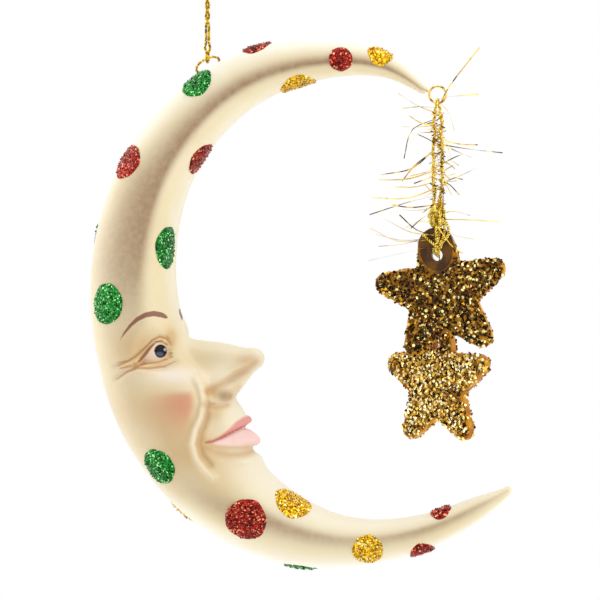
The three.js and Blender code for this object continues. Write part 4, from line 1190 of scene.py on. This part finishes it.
def glitter(name, dark, middle, bright):
    """Foil flakes: each cell or loose flake has its own tone and its own tilt. The bright tone is a
    painted sparkle.
    """
    material, tree, shader = new_material(name, Metallic=0.75, Roughness=0.3)
    cell_colour = cells(tree, CELL_SIZE)["Color"]
    tone = combine(tree, "ADD", first_channel(tree, cell_colour), chance_of_island(tree))
    tone = add_node(tree, "ShaderNodeMath", {"operation": "FRACT"}, {0: tone}).outputs[0]
    colour = mix_colours(tree, fade(tree, tone, 0.15, 0.6), dark, middle)
    colour = mix_colours(tree, fade(tree, tone, 0.86, 0.96), colour, bright)
    tree.links.new(colour, shader.inputs["Base Color"])
    tilt = add_node(tree, "ShaderNodeVectorMath", {"operation": "MULTIPLY_ADD"}, {
        0: cell_colour, 1: (CELL_TILT,) * 3, 2: (-CELL_TILT / 2,) * 3}).outputs[0]
    normal = add_node(tree, "ShaderNodeNewGeometry", {}, {}).outputs["Normal"]
    tilted = add_node(tree, "ShaderNodeVectorMath", {"operation": "ADD"}, {0: normal, 1: tilt})
    unit = add_node(tree, "ShaderNodeVectorMath", {"operation": "NORMALIZE"}, {
        0: tilted.outputs[0]})
    tree.links.new(unit.outputs[0], shader.inputs["Normal"])
    return material


# The third colour of each is a painted sparkle, light reflected by the flakes.
GLITTER = {
    "green": glitter("green_glitter", srgb(4, 56, 14), srgb(16, 138, 40), srgb(170, 255, 160)),
    "red": glitter("red_glitter", srgb(72, 8, 4), srgb(178, 38, 22), srgb(255, 172, 130)),
    "gold": glitter("gold_glitter", srgb(158, 104, 4), srgb(255, 202, 14), srgb(255, 250, 170))}

# %% Scatter flakes
def scatter_flakes(bm, places, normals, radius, sides, tilt, rng):
    """A flake at each place, turned along its normal and then tilted at random."""
    for place, normal in zip(places, normals):
        way = Vector(normal + rng.normal(0, tilt, 3)).normalized()
        turn = way.to_track_quat("Z", "Y").to_matrix().to_4x4()
        spin = Matrix.Rotation(rng.uniform(0, 6.283), 4, "Z")
        size = radius * rng.uniform(0.75, 1.2)
        bmesh.ops.create_circle(bm, cap_ends=True, segments=sides, radius=size,
                                matrix=Matrix.Translation(Vector(place)) @ turn @ spin)


# %% Where the dots are
DOT_DIAMETER = 11
# Each dot's direction from the centre, turn round the section and size.
DOTS = {
    "green_dot_crown": (123.3, 34, 0.88), "red_dot_crown": (108.9, 5, 0.8),
    "gold_dot_under_horn": (101.7, 172, 0.96), "red_dot_upper_horn": (89.9, 84, 0.62),
    "gold_dot_upper_horn": (81.1, 28, 0.68), "red_dot_back": (146.5, 32, 0.95),
    "red_dot_inner": (134.8, 158, 0.92), "green_dot_inner": (162.1, 135, 1.1),
    "green_dot_temple": (179.9, 59, 1.06), "green_dot_cheek": (222.2, 58, 0.98),
    "red_dot_chin": (247.1, 77, 1.08), "gold_dot_chin": (256.6, 140, 1),
    "gold_dot_lower": (276.7, 66, 0.8), "red_dot_lower_horn": (288.2, 13, 0.66),
    "red_dot_lower_tip": (295.9, 152, 0.56), "green_dot_edge": (163.8, -12, 0.95),
    "gold_dot_edge": (231.4, -10, 0.95), "green_dot_under": (260.2, -12, 0.95),
    "far_gold_dot_crown": (133, -64, 0.95), "far_green_dot_horn": (98, -86, 0.68),
    "far_red_dot_temple": (176, -70, 1.06), "far_gold_dot_back": (198, -38, 1),
    "far_green_dot_cheek": (226, -62, 1), "far_red_dot_chin": (252, -84, 1),
    "far_gold_dot_lower": (279, -74, 0.78)}


def dot_frame(angle, around):
    """A dot's middle on the skin, and its three directions."""
    ridge = section(np.array([angle]))[0][0]
    t, a = math.radians(angle), math.radians(around)
    out = np.array([math.cos(t), 0, math.sin(t)])
    middle = cast((out * ridge)[None], (out * math.cos(a) - np.array([0, math.sin(a), 0]))[None])
    n = slope(middle)[0]
    n /= np.linalg.norm(n)
    e = np.cross([0, 1, 0], n)
    e = e / np.linalg.norm(e) if np.linalg.norm(e) > 0.5 else np.array([1.0, 0, 0])
    return middle[0], n, e, np.cross(n, e)


def lay_on_skin(flat, height, frame_of_dot):
    """Points of a flat disc, dropped on the skin and lifted by a height each."""
    middle, n, e, f = frame_of_dot
    p = middle + flat[:, :1] * e + flat[:, 1:] * f
    for _ in range(8):
        p = p - n * (moon_distance(p) - height)[:, None] * 0.9
    return p + MOON_CENTRE


# %% Make the dots
CUSHION_RISE, CUSHION_GRID, SKIRT = 0.5, 16, 0.5
FINE_FLAKE, FLAKES_PER_RADIUS_SQUARED = 0.24, 5.2


def cushion_height(share):
    """High in the middle and down at the rim, by the share of the radius."""
    return CUSHION_RISE * np.sqrt(np.clip(1 - share**4, 0, 1))


def only_verts(geometry):
    return [g for g in geometry if isinstance(g, bmesh.types.BMVert)]


def make_cushion(radius, spot, seed):
    """A closed cushion with a slightly wavy rim, whose skirt goes into the moon's skin."""
    bm = bmesh.new()
    bmesh.ops.create_grid(bm, x_segments=CUSHION_GRID, y_segments=CUSHION_GRID, size=1)
    square = np.array([v.co[:2] for v in bm.verts])
    disc = square * np.sqrt(1 - square[:, ::-1] ** 2 / 2)
    turn = np.arctan2(disc[:, 1], disc[:, 0])
    wave = 1 + 0.02 * np.sin(3 * turn + seed) + 0.015 * np.sin(7 * turn + 2 * seed)
    height = 0.12 + cushion_height(np.linalg.norm(disc, axis=1))
    for vert, place in zip(bm.verts, lay_on_skin(disc * radius * wave[:, None], height, spot)):
        vert.co = place
    rim = [e for e in bm.edges if e.is_boundary]
    skirt = bmesh.ops.extrude_edge_only(bm, edges=rim)["geom"]
    bmesh.ops.translate(bm, verts=only_verts(skirt), vec=spot[1] * -SKIRT)
    bmesh.ops.edgeloop_fill(bm, edges=[e for e in bm.edges if e.is_boundary])
    bmesh.ops.recalc_face_normals(bm, faces=bm.faces)
    return bm


def make_dot(name, angle, around, size, seed):
    """A cushion with loose flakes, and how many there are."""
    rng = np.random.default_rng(seed)
    radius = DOT_DIAMETER * size / 2
    spot = dot_frame(angle, around)
    bm = make_cushion(radius, spot, seed)
    count = int(FLAKES_PER_RADIUS_SQUARED * radius * radius)
    spread = np.sqrt(rng.uniform(0, 1, count)) * 0.985
    turn = rng.uniform(0, 2 * math.pi, count)
    flat = np.stack([spread * np.cos(turn), spread * np.sin(turn)], 1) * radius
    lift = 0.2 + cushion_height(spread) + rng.uniform(0, 0.1, count)
    normals = np.tile(spot[1], (count, 1))
    scatter_flakes(bm, lay_on_skin(flat, lift, spot), normals, FINE_FLAKE, 5, 0.45, rng)
    colour = next(c for c in GLITTER if c + "_dot" in name)
    mesh = finish_mesh(bm, name + "_glitter", GLITTER[colour], smooth=False)
    add_piece(name + "_glitter", mesh, "moon", [name])
    return count


flakes = sum(make_dot(name, *values, seed) for seed, (name, values) in enumerate(DOTS.items()))
print("flakes on", len(DOTS), "dots:", flakes)

# %% [markdown]
# ## Wire eyes
#
# The eye on the crown is two brass wires twisted together and bent to a ring, so its outline is
# bumpy. The eye at the tip is one plain thin wire. Both sit on a short straight shank.

# %% Brass wire
wire_gold, tree, shader = new_material("wire_gold", Metallic=0.95, Roughness=0.22)
tone = fade(tree, noise(tree, 1.4, 2.0), 0.35, 0.65)
brass = mix_colours(tree, tone, srgb(150, 104, 20), srgb(246, 204, 84))
tree.links.new(brass, shader.inputs["Base Color"])


def ring_route(centre, across, up, radius, start):
    """Once round a ring from an angle, with its length."""
    t = 2 * math.pi * np.linspace(0, 1, 120) + start
    line = centre + radius * (np.cos(t)[:, None] * across + np.sin(t)[:, None] * up)
    return line, 2 * math.pi * radius


def straight(start, end):
    return np.linspace(start, end, 12), float(np.linalg.norm(np.subtract(end, start)))


# %% Bend the eye on the crown
TOP_EYE_RADIUS, TIP_EYE_RADIUS = 3.6, 2.4
EYE_DIRECTION, RING_LEAN, HANG = math.radians(123.6), math.radians(32), math.radians(65)
SUNK = 1.2

# The ring's two directions: one leans with the shank, the other points mostly to the near side.
across = np.array([math.cos(RING_LEAN), 0, math.sin(RING_LEAN)])
aside = [-math.sin(RING_LEAN) * 0.33, -0.944, math.cos(RING_LEAN) * 0.33]
up = np.cross(np.cross(across, aside), across)
up /= np.linalg.norm(up)
top_centre = BEARING - TOP_EYE_RADIUS * (math.cos(HANG) * across + math.sin(HANG) * up)
crossing = top_centre - TOP_EYE_RADIUS * across
# The shank's root slides in along its direction until it is sunk in the casting.
outward = np.array([math.cos(EYE_DIRECTION), 0, math.sin(EYE_DIRECTION)])
root = crossing - MOON_CENTRE
for _ in range(6):
    root = root - outward * (moon_distance(root[None])[0] + SUNK)
top_routes = [ring_route(top_centre, across, up, TOP_EYE_RADIUS, math.pi),
              straight(root + MOON_CENTRE, crossing)]
top_mesh = wound_mesh("crown_eye", top_routes, TOP_EYE_WIRE, wire_gold, threads=2, pitch=2.1)
add_piece("crown_eye", top_mesh, "moon", ["top_eye"])

# %% Bend the eye at the tip
tip_turn = math.radians(UPPER_TIP)
away = np.array([math.sin(tip_turn), 0, -math.cos(tip_turn)])
tip_centre = TIP_BEARING + [0, 0, TIP_EYE_RADIUS]
shank_start = tip_centre - away * (TIP_EYE_RADIUS + 2.2)
right, upright = np.array([1.0, 0, 0]), np.array([0, 0, 1.0])
tip_routes = [ring_route(tip_centre, right, upright, TIP_EYE_RADIUS, 0.4),
              straight(shank_start, tip_centre - away * TIP_EYE_RADIUS)]
tip_mesh = wound_mesh("tip_eye_wire", tip_routes, TIP_EYE_WIRE, wire_gold, threads=1)
add_piece("tip_eye_wire", tip_mesh, "moon", ["tip_eye"])
for mesh, node in ((top_mesh, "top_eye"), (tip_mesh, "tip_eye")):
    spots = np.array([v.co for v in mesh.vertices]) / MM
    print(mesh.name, "wire:", spots.min(0).round(1), spots.max(0).round(1))

# %% [markdown]
# ## Foil fibres
#
# The string is a tinsel: narrow strips of foil are caught between its threads and stand out all
# round. Each strip is a grid one face wide, laid along its own curve and turned a little as it
# goes, so that it flashes bright and dark. Those that the photograph shows are drawn on the
# drawing sheet, from the string outwards, and others fill in the front and the back.

# %% Strips that the photograph shows
STRIPS = [
    [(436, 104), (446, 91), (476, 50)], [(435, 101), (444, 99.5), (479, 97)],
    [(437, 106), (446, 114), (449, 132)], [(437, 141), (460, 146), (479, 147)],
    [(438, 146), (462, 150), (494, 154)], [(438, 145), (451, 150.5), (473, 159.5)],
    [(436, 166), (452, 161), (467, 156)], [(437, 184), (458, 177), (472, 170)],
    [(440, 184), (444, 196), (447.6, 215)], [(440, 220), (470, 221), (499, 223)],
    [(437, 174), (446, 171), (455, 167)], [(440, 226), (453, 236), (470, 240)],
    [(441, 228), (455, 248), (464.5, 254)], [(430, 114), (418, 107), (404, 96)],
    [(430, 109), (414, 108), (398, 109)], [(429, 128), (419, 124), (407, 117)],
    [(429, 127), (415, 128.5), (403.5, 128)], [(428, 121), (409, 131), (397, 159)],
    [(428, 151), (410, 169), (375.5, 175)], [(428, 152), (412, 166), (395, 182)],
    [(431, 172), (409, 180), (382.5, 181)], [(430, 177), (420, 181), (408, 184)],
    [(430, 183), (414, 188), (395, 187.5)], [(432, 190), (407, 199), (372, 198)],
    [(431, 197), (410, 203), (376, 215.6)], [(431, 206), (407, 208), (385, 205)],
    [(431, 208), (415, 211), (396.5, 210)], [(432, 212), (422, 219), (412, 229)],
    [(434, 236), (421, 231), (407, 216)], [(434, 236), (415, 233), (392, 220)],
    [(434, 240), (404, 242), (380, 229)], [(434, 239), (406, 241), (381, 235)],
    [(434, 234), (412, 244), (386, 247)], [(434, 246), (417, 251), (374, 261)],
    [(434, 216), (448, 212), (462, 216)], [(432, 224), (416, 222), (402, 228)]]
# Rows of the photograph where the bundle and the upper star's lug begin.
BUNDLE_TOP, LUG_TOP_ROW = 214, 227


def strip_route(points, depth):
    """From the string to a strip's end while its depth grows, lifted off the lug at first."""
    place = np.array(points, float)
    run = np.concatenate([[0], np.cumsum(np.linalg.norm(np.diff(place, axis=0), axis=1))])
    start, depth = (-2.5, -abs(depth)) if points[0][1] > LUG_TOP_ROW else (0, depth)
    route = on_the_sheet(np.column_stack([place, start + depth * (run / run[-1]) ** 1.2]))
    side = np.sign(route[1, 0] - TIP_BEARING[0])
    route[0, 0] = TIP_BEARING[0] + side * (1.0 if points[0][1] < BUNDLE_TOP else 0.5)
    return smooth_route(route, 8)[0]


def lay_strip(bm, route, width, rng):
    """A flat strip along a route, which turns over as it goes."""
    side, up = side_directions(route)
    turn = rng.uniform(0, math.pi) + np.linspace(0, rng.uniform(-2.5, 2.5), len(route))
    half = (side * np.cos(turn)[:, None] + up * np.sin(turn)[:, None]) * width / 2
    strip = bmesh.ops.create_grid(bm, x_segments=len(route) - 1, y_segments=1, size=1)["verts"]
    for vert, place in zip(strip, np.vstack([route - half, route + half])):
        vert.co = place


# %% Foil
tinsel_foil, tree, shader = new_material("tinsel_foil", Metallic=0.9, Roughness=0.22)
# Bright and dark gold along each strip is a painted reflection, as twisted foil shows it.
flash = combine(tree, "ADD", noise(tree, 3.2, 1.0), times(tree, chance_of_island(tree), 0.3))
foil = mix_colours(tree, fade(tree, flash, 0.54, 0.67), srgb(84, 60, 26), srgb(236, 198, 74))
tree.links.new(foil, shader.inputs["Base Color"])

# %% Lay the strips
FILLING_STRIPS, STRIP_TURN, STUBS = 54, 2.4, 330

rng = np.random.default_rng(7)
bm = bmesh.new()
for points in STRIPS:
    lay_strip(bm, strip_route(points, rng.uniform(-5, 5)), rng.uniform(0.26, 0.36), rng)
for k in range(FILLING_STRIPS):
    height = TIP_BEARING[2] - rng.uniform(3, 35)
    way = k * STRIP_TURN
    reach = rng.uniform(5, 13) if abs(math.sin(way)) > 0.6 else rng.uniform(1.5, 4)
    out = np.array([math.cos(way) * 0.7, math.sin(way), 0])
    start = np.array([TIP_BEARING[0], 0, height]) + out * 0.8
    drop = np.array([0, 0, rng.normal(0, 0.25)])
    sag = [0, 0, rng.normal(-0.06, 0.08) * reach]
    route, _ = smooth_route([start, start + (out + drop) * reach * 0.5,
                             start + (out + drop) * reach + sag], 7)
    lay_strip(bm, route, rng.uniform(0.24, 0.34), rng)
for _ in range(STUBS):
    height = TIP_BEARING[2] - rng.uniform(2.5, 36)
    way = rng.uniform(0, 6.28)
    start = np.array([TIP_BEARING[0] + rng.choice([-1, 1]) * 0.9, 0, height])
    out = np.array([math.cos(way), math.sin(way), rng.normal(0, 0.5)])
    end = start + out * rng.uniform(0.7, 1.6)
    lay_strip(bm, np.linspace(start, end, 4), 0.36, rng)
bmesh.ops.solidify(bm, geom=bm.faces[:], thickness=0.03)
strips_mesh = finish_mesh(bm, "tinsel_strips", tinsel_foil, smooth=False)
add_piece("tinsel_strips", strips_mesh, "tinsel")
print("foil strips:", len(STRIPS) + FILLING_STRIPS + STUBS)

# %% [markdown]
# ## Stars
#
# Each star is a flat amber moulding with a smooth oval lug, dipped in coarse round glitter. The
# plate starts as half an outline of thirteen points. Bevelled corners give the round arms, the
# lug's end and the hole, and a mirror makes the other half. Then it gets its thickness.

# %% Half an outline, rounded and mirrored
STAR_RADIUS, STAR_WAIST, ARM_HALF = 19.5, 10.4, 2.2
ARM_SPREAD = math.degrees(math.atan2(ARM_HALF, STAR_RADIUS))
HOLE_ABOVE_MIDDLE, HOLE_RADIUS, LUG_HALF = 11.1, 1.6, 4.5
LUG_TOP = HOLE_ABOVE_MIDDLE + LUG_ABOVE_HOLE


def polar(radius, degrees):
    angle = math.radians(degrees)
    return [radius * math.cos(angle), radius * math.sin(angle)]


def star_outline():
    """The flat star as a face about its hole's middle, and the points of its outer edge."""
    hole = HOLE_RADIUS
    low, high = HOLE_ABOVE_MIDDLE - hole, HOLE_ABOVE_MIDDLE + hole
    arms = [(*polar(math.hypot(STAR_RADIUS, ARM_HALF), middle + side), ARM_HALF)
            for middle in (18, -54) for side in (ARM_SPREAD, -ARM_SPREAD)]
    # Across, up, and how far each corner is rounded.
    points = [(0, LUG_TOP, 0), (LUG_HALF, LUG_TOP, LUG_HALF), (*polar(STAR_WAIST, 54), 0.6),
              *arms[:2], (*polar(STAR_WAIST, -18), 1.2), *arms[2:], (0, -STAR_WAIST, 0),
              (0, low, 0), (hole, low, hole), (hole, high, hole), (0, high, 0)]
    bm = bmesh.new()
    verts = [bm.verts.new((x, 0, z - HOLE_ABOVE_MIDDLE)) for x, z, _ in points]
    bm.faces.new(verts)
    for size in sorted({p[2] for p in points if p[2]}):
        corners = [v for v, p in zip(verts, points) if p[2] == size]
        bmesh.ops.bevel(bm, geom=corners, offset=size * 0.998, offset_type="OFFSET", segments=7,
                        profile=0.5, affect="VERTICES", material=-1)
    bmesh.ops.remove_doubles(bm, verts=bm.verts, dist=0.04)
    bm.faces.ensure_lookup_table()
    edge = [v.co.copy() for v in bm.faces[0].verts]
    right = [(v.x, v.z) for v in edge if v.x > 1e-4 and math.hypot(v.x, v.z) > HOLE_RADIUS * 1.1]
    turn = [math.atan2(z + HOLE_ABOVE_MIDDLE, x) for x, z in right]
    right = [p for _, p in sorted(zip(turn, right), reverse=True)]
    outer = [(0, LUG_ABOVE_HOLE)] + right + [(0, -STAR_WAIST - HOLE_ABOVE_MIDDLE)]
    outer += [(-x, z) for x, z in reversed(right)]
    half = bm.verts[:] + bm.edges[:] + bm.faces[:]
    bmesh.ops.mirror(bm, geom=half, axis="X", merge_dist=1e-3)
    bmesh.ops.recalc_face_normals(bm, faces=bm.faces)
    return bm, outer


# %% Thickness, soft edges and the oval lug
def thicken(bm, faces, thickness, soft):
    """Gives flat faces in the XZ plane their thickness and rounds the rims."""
    grown = bmesh.ops.extrude_face_region(bm, geom=faces)["geom"]
    bmesh.ops.translate(bm, verts=only_verts(grown), vec=(0, thickness, 0))
    bmesh.ops.translate(bm, verts=bm.verts, vec=(0, -thickness / 2, 0))
    bmesh.ops.recalc_face_normals(bm, faces=bm.faces)
    rim = [e for e in bm.edges if len(e.link_faces) == 2 and e.calc_face_angle(0) > 1.0]
    bmesh.ops.bevel(bm, geom=rim, offset=soft, offset_type="OFFSET", segments=3, profile=0.5,
                    affect="EDGES", material=-1)


LUG_OVAL, LUG_MIDDLE, LUG_RISE = (4.7, 6.1), 1.75, 0.25


def star_plate():
    """The moulding with its raised oval lug, and the points of its outer edge."""
    bm, outer = star_outline()
    thicken(bm, bm.faces[:], STAR_THICKNESS, 0.4)
    lug = bmesh.new()
    turn = Matrix.Rotation(math.pi / 2, 4, "X")
    bmesh.ops.create_circle(lug, segments=36, radius=1, matrix=turn)
    bmesh.ops.scale(lug, verts=lug.verts, vec=(LUG_OVAL[0], 1, LUG_OVAL[1]))
    bmesh.ops.translate(lug, verts=lug.verts, vec=(0, 0, LUG_MIDDLE))
    bmesh.ops.create_circle(lug, segments=36, radius=HOLE_RADIUS, matrix=turn)
    bmesh.ops.bridge_loops(lug, edges=lug.edges[:])
    thicken(lug, lug.faces[:], STAR_THICKNESS + 2 * LUG_RISE, 0.22)
    spare = bpy.data.meshes.new("lug")
    lug.to_mesh(spare)
    bm.from_mesh(spare)
    bpy.data.meshes.remove(spare)
    return bm, outer


# %% Amber plastic and coarse glitter
def amber_plastic():
    """Cloudy amber, darker where the lug is bare."""
    material, tree, shader = new_material("amber_plastic", Roughness=0.36, IOR=1.4,
                                          Transmission_Weight=0.12, Specular_IOR_Level=0.3)
    cloud = noise(tree, 5, 3.0)
    amber = mix_colours(tree, fade(tree, cloud, 0.38, 0.66), srgb(236, 164, 18), srgb(178, 108, 6))
    dark = mix_colours(tree, fade(tree, cloud, 0.4, 0.6), srgb(118, 74, 18), srgb(70, 42, 10))
    colour = mix_colours(tree, painted(tree, "lug"), amber, dark)
    tree.links.new(colour, shader.inputs["Base Color"])
    add_bumps(tree, shader, 0.4, 0.1, noise(tree, 1.2, 3.0))
    return material


def coarse_glitter(name, tones):
    """Loose round flakes. Each takes one tone by chance, in the given shares."""
    material, tree, shader = new_material(name, Metallic=0.9, Roughness=0.2)
    chance = chance_of_island(tree)
    colour = tones[0][1]
    for share, tone in tones[1:]:
        colour = mix_colours(tree, fade(tree, chance, share, share + 0.02), colour, tone)
    tree.links.new(colour, shader.inputs["Base Color"])
    return material


AMBER = amber_plastic()
# The palest tone of each glitter is a painted sparkle, light reflected by the flakes.
BRONZE = coarse_glitter("bronze_glitter", [
    (0, srgb(30, 20, 12)), (0.3, srgb(74, 50, 20)), (0.58, srgb(128, 88, 30)),
    (0.8, srgb(210, 160, 56)), (0.9, srgb(255, 244, 166))])
BRIGHT = coarse_glitter("bright_glitter", [
    (0, srgb(52, 32, 8)), (0.22, srgb(140, 98, 28)), (0.4, srgb(208, 162, 60)),
    (0.6, srgb(246, 210, 104)), (0.78, srgb(255, 248, 196))])

# %% Scatter coarse flakes on a star
FLAKE_RADIUS, FLAKE_SIDES = 0.45, 6
FLAKE_TRIES, RIM_FLAKES = 13000, 250
STAR_LOW, STAR_HIGH = [-20, -31], [20, 9]


def outside(flat, middle, radii):
    return ((flat - middle) / radii) ** 2 @ [1, 1] > 1


def flakes_on_faces(bm, outer, bare, rng):
    """Flakes on the front and the back, fewer towards the edge and none in the bare oval."""
    flat = rng.uniform(STAR_LOW, STAR_HIGH, (FLAKE_TRIES, 2))
    edge = patch_distance(flat, outer)
    flat = flat[(edge < -rng.uniform(0, 1.1, len(flat)) ** 2) & outside(flat, *bare)]
    side = np.where(rng.random(len(flat)) < 0.5, -1, 1)
    height = STAR_THICKNESS / 2 + rng.uniform(0.02, 0.42, len(flat))
    height += np.where(outside(flat, [0, LUG_MIDDLE], LUG_OVAL), 0, LUG_RISE)
    spots = np.stack([flat[:, 0], side * height, flat[:, 1]], 1)
    ways = np.stack([0 * side, side, 0 * side], 1).astype(float)
    scatter_flakes(bm, spots, ways, FLAKE_RADIUS, FLAKE_SIDES, 0.36, rng)


def flakes_on_rim(bm, outer, bare, rng):
    """Flakes round the edge, as many on each leg of the outline as its length asks for."""
    ring = np.array(outer + outer[:1])
    leg = rng.integers(0, len(outer), RIM_FLAKES * 4)
    length = np.linalg.norm(np.diff(ring, axis=0), axis=1)
    leg = leg[rng.random(len(leg)) < length[leg] / length.max()][:RIM_FLAKES]
    share = rng.random(len(leg))[:, None]
    rim = ring[leg] * (1 - share) + ring[leg + 1] * share
    step = ring[leg + 1] - ring[leg]
    size = np.maximum(np.linalg.norm(step, axis=1), 1e-6)[:, None]
    out = np.stack([-step[:, 1], step[:, 0]], 1) / size
    out *= np.sign(patch_distance(rim + out * 0.2, outer))[:, None]
    keep = outside(rim, *bare)
    rim, out = rim[keep] + out[keep] * rng.uniform(0, 0.25, keep.sum())[:, None], out[keep]
    spots = np.stack([rim[:, 0], rng.uniform(-1.1, 1.1, len(rim)), rim[:, 1]], 1)
    ways = np.stack([out[:, 0], 0 * out[:, 0], out[:, 1]], 1)
    scatter_flakes(bm, spots, ways, FLAKE_RADIUS, FLAKE_SIDES, 0.4, rng)


# %% Make the stars
UPPER_STAR_LEAN = -7.5
# Middle and radii of the oval that stays bare: the upper star's lug, the lower star's hole.
UPPER_BARE, LOWER_BARE = ((0, LUG_MIDDLE), (5.3, 6.9)), ((0, 0), (2.0, 2.0))


def make_star(name, place, glitter_material, bare, dark_lug, seed):
    """Dips a plate in glitter, all but the bare oval round its hole."""
    rng = np.random.default_rng(seed)
    plate, outer = star_plate()
    flat = np.array([v.co[:] for v in plate.verts])[:, ::2]
    bmesh.ops.transform(plate, matrix=place, verts=plate.verts)
    mesh = finish_mesh(plate, name + "_plate", AMBER, smooth=False)
    in_lug = ~outside(flat, [0, LUG_MIDDLE], np.array(LUG_OVAL) * 1.12) & dark_lug
    mesh.attributes.new("lug", "FLOAT", "POINT").data.foreach_set("value", in_lug.astype(float))
    add_piece(name + "_plate", mesh, name, [name])
    bm = bmesh.new()
    flakes_on_faces(bm, outer, bare, rng)
    flakes_on_rim(bm, outer, bare, rng)
    print(name, "has", len(bm.faces), "flakes")
    bmesh.ops.transform(bm, matrix=place, verts=bm.verts)
    flakes_mesh = finish_mesh(bm, name + "_glitter", glitter_material, smooth=False)
    add_piece(name + "_glitter", flakes_mesh, name)


upper_turn = Matrix.Rotation(math.radians(UPPER_STAR_LEAN), 4, "Y")
lower_turn = Matrix.Rotation(math.radians(LOWER_STAR_TURN), 4, "Z")
upper_place = Matrix.Translation(UPPER_HOLE) @ upper_turn
lower_place = Matrix.Translation(LOWER_HOLE) @ lower_turn
make_star("upper_star", upper_place, BRONZE, UPPER_BARE, True, 11)
make_star("lower_star", lower_place, BRIGHT, LOWER_BARE, False, 12)

# %% [markdown]
# ## Light and backdrop
#
# The photograph was taken in a white tent: large soft light from both sides and above, and less
# from the camera's side, so the edges of the casting are the brightest. The backdrop is white
# to the camera and to mirrors only.

# %% White surroundings
world = bpy.data.worlds.new("white_tent")
bpy.context.scene.world = world
world.use_nodes = True
tree = world.node_tree
tree.nodes.clear()
rays = tree.nodes.new("ShaderNodeLightPath").outputs
seen = combine(tree, "MAXIMUM", rays["Is Camera Ray"], rays["Is Glossy Ray"])
seen = combine(tree, "MAXIMUM", seen, rays["Is Transmission Ray"])
dim = add_node(tree, "ShaderNodeBackground", {}, {"Color": (1, 0.985, 0.96, 1), "Strength": 0.38})
white = add_node(tree, "ShaderNodeBackground", {}, {"Color": (1, 1, 1, 1), "Strength": 1.0})
both = add_node(tree, "ShaderNodeMixShader", {}, {0: seen, 1: dim.outputs[0], 2: white.outputs[0]})
out = tree.nodes.new("ShaderNodeOutputWorld")
tree.links.new(both.outputs[0], out.inputs[0])

# %% Soft boxes
AIM = (0.03, 0, -0.115)


def soft_box(name, place, size, power):
    """A wide soft lamp that faces the ornament's middle."""
    light = bpy.data.lights.new(name, "AREA")
    light.shape = "RECTANGLE"
    light.size, light.size_y = size
    light.energy = power
    thing = bpy.data.objects.new(name, light)
    thing.location = Vector(place)
    thing.rotation_euler = (Vector(AIM) - Vector(place)).to_track_quat("-Z", "Y").to_euler()
    bpy.context.collection.objects.link(thing)


soft_box("left_box", (-0.62, 0.02, 0.0), (0.7, 0.9), 2.6)
soft_box("right_box", (0.68, -0.06, 0.02), (0.7, 0.9), 2.6)
soft_box("top_box", (0.02, -0.1, 0.6), (0.7, 0.7), 2.9)
soft_box("front_box", (-0.25, -0.9, 0.25), (0.6, 0.6), 0.9)

# %% Pale floor
bpy.ops.mesh.primitive_plane_add(size=3, location=(0, 0, -0.42))
floor = bpy.context.object
floor.name = "pale_floor"
floor_paint, tree, shader = new_material("floor_paint", Base_Color=(0.9, 0.9, 0.9, 1),
                                         Roughness=0.8)
glow = add_node(tree, "ShaderNodeEmission", {}, {"Color": (1, 1, 1, 1), "Strength": 0.25})
total = add_node(tree, "ShaderNodeAddShader", {}, {0: shader.outputs[0], 1: glow.outputs[0]})
tree.links.new(total.outputs[0], tree.nodes["Material Output"].inputs[0])
floor.data.materials.append(floor_paint)

bpy.context.scene.view_settings.view_transform = "Standard"
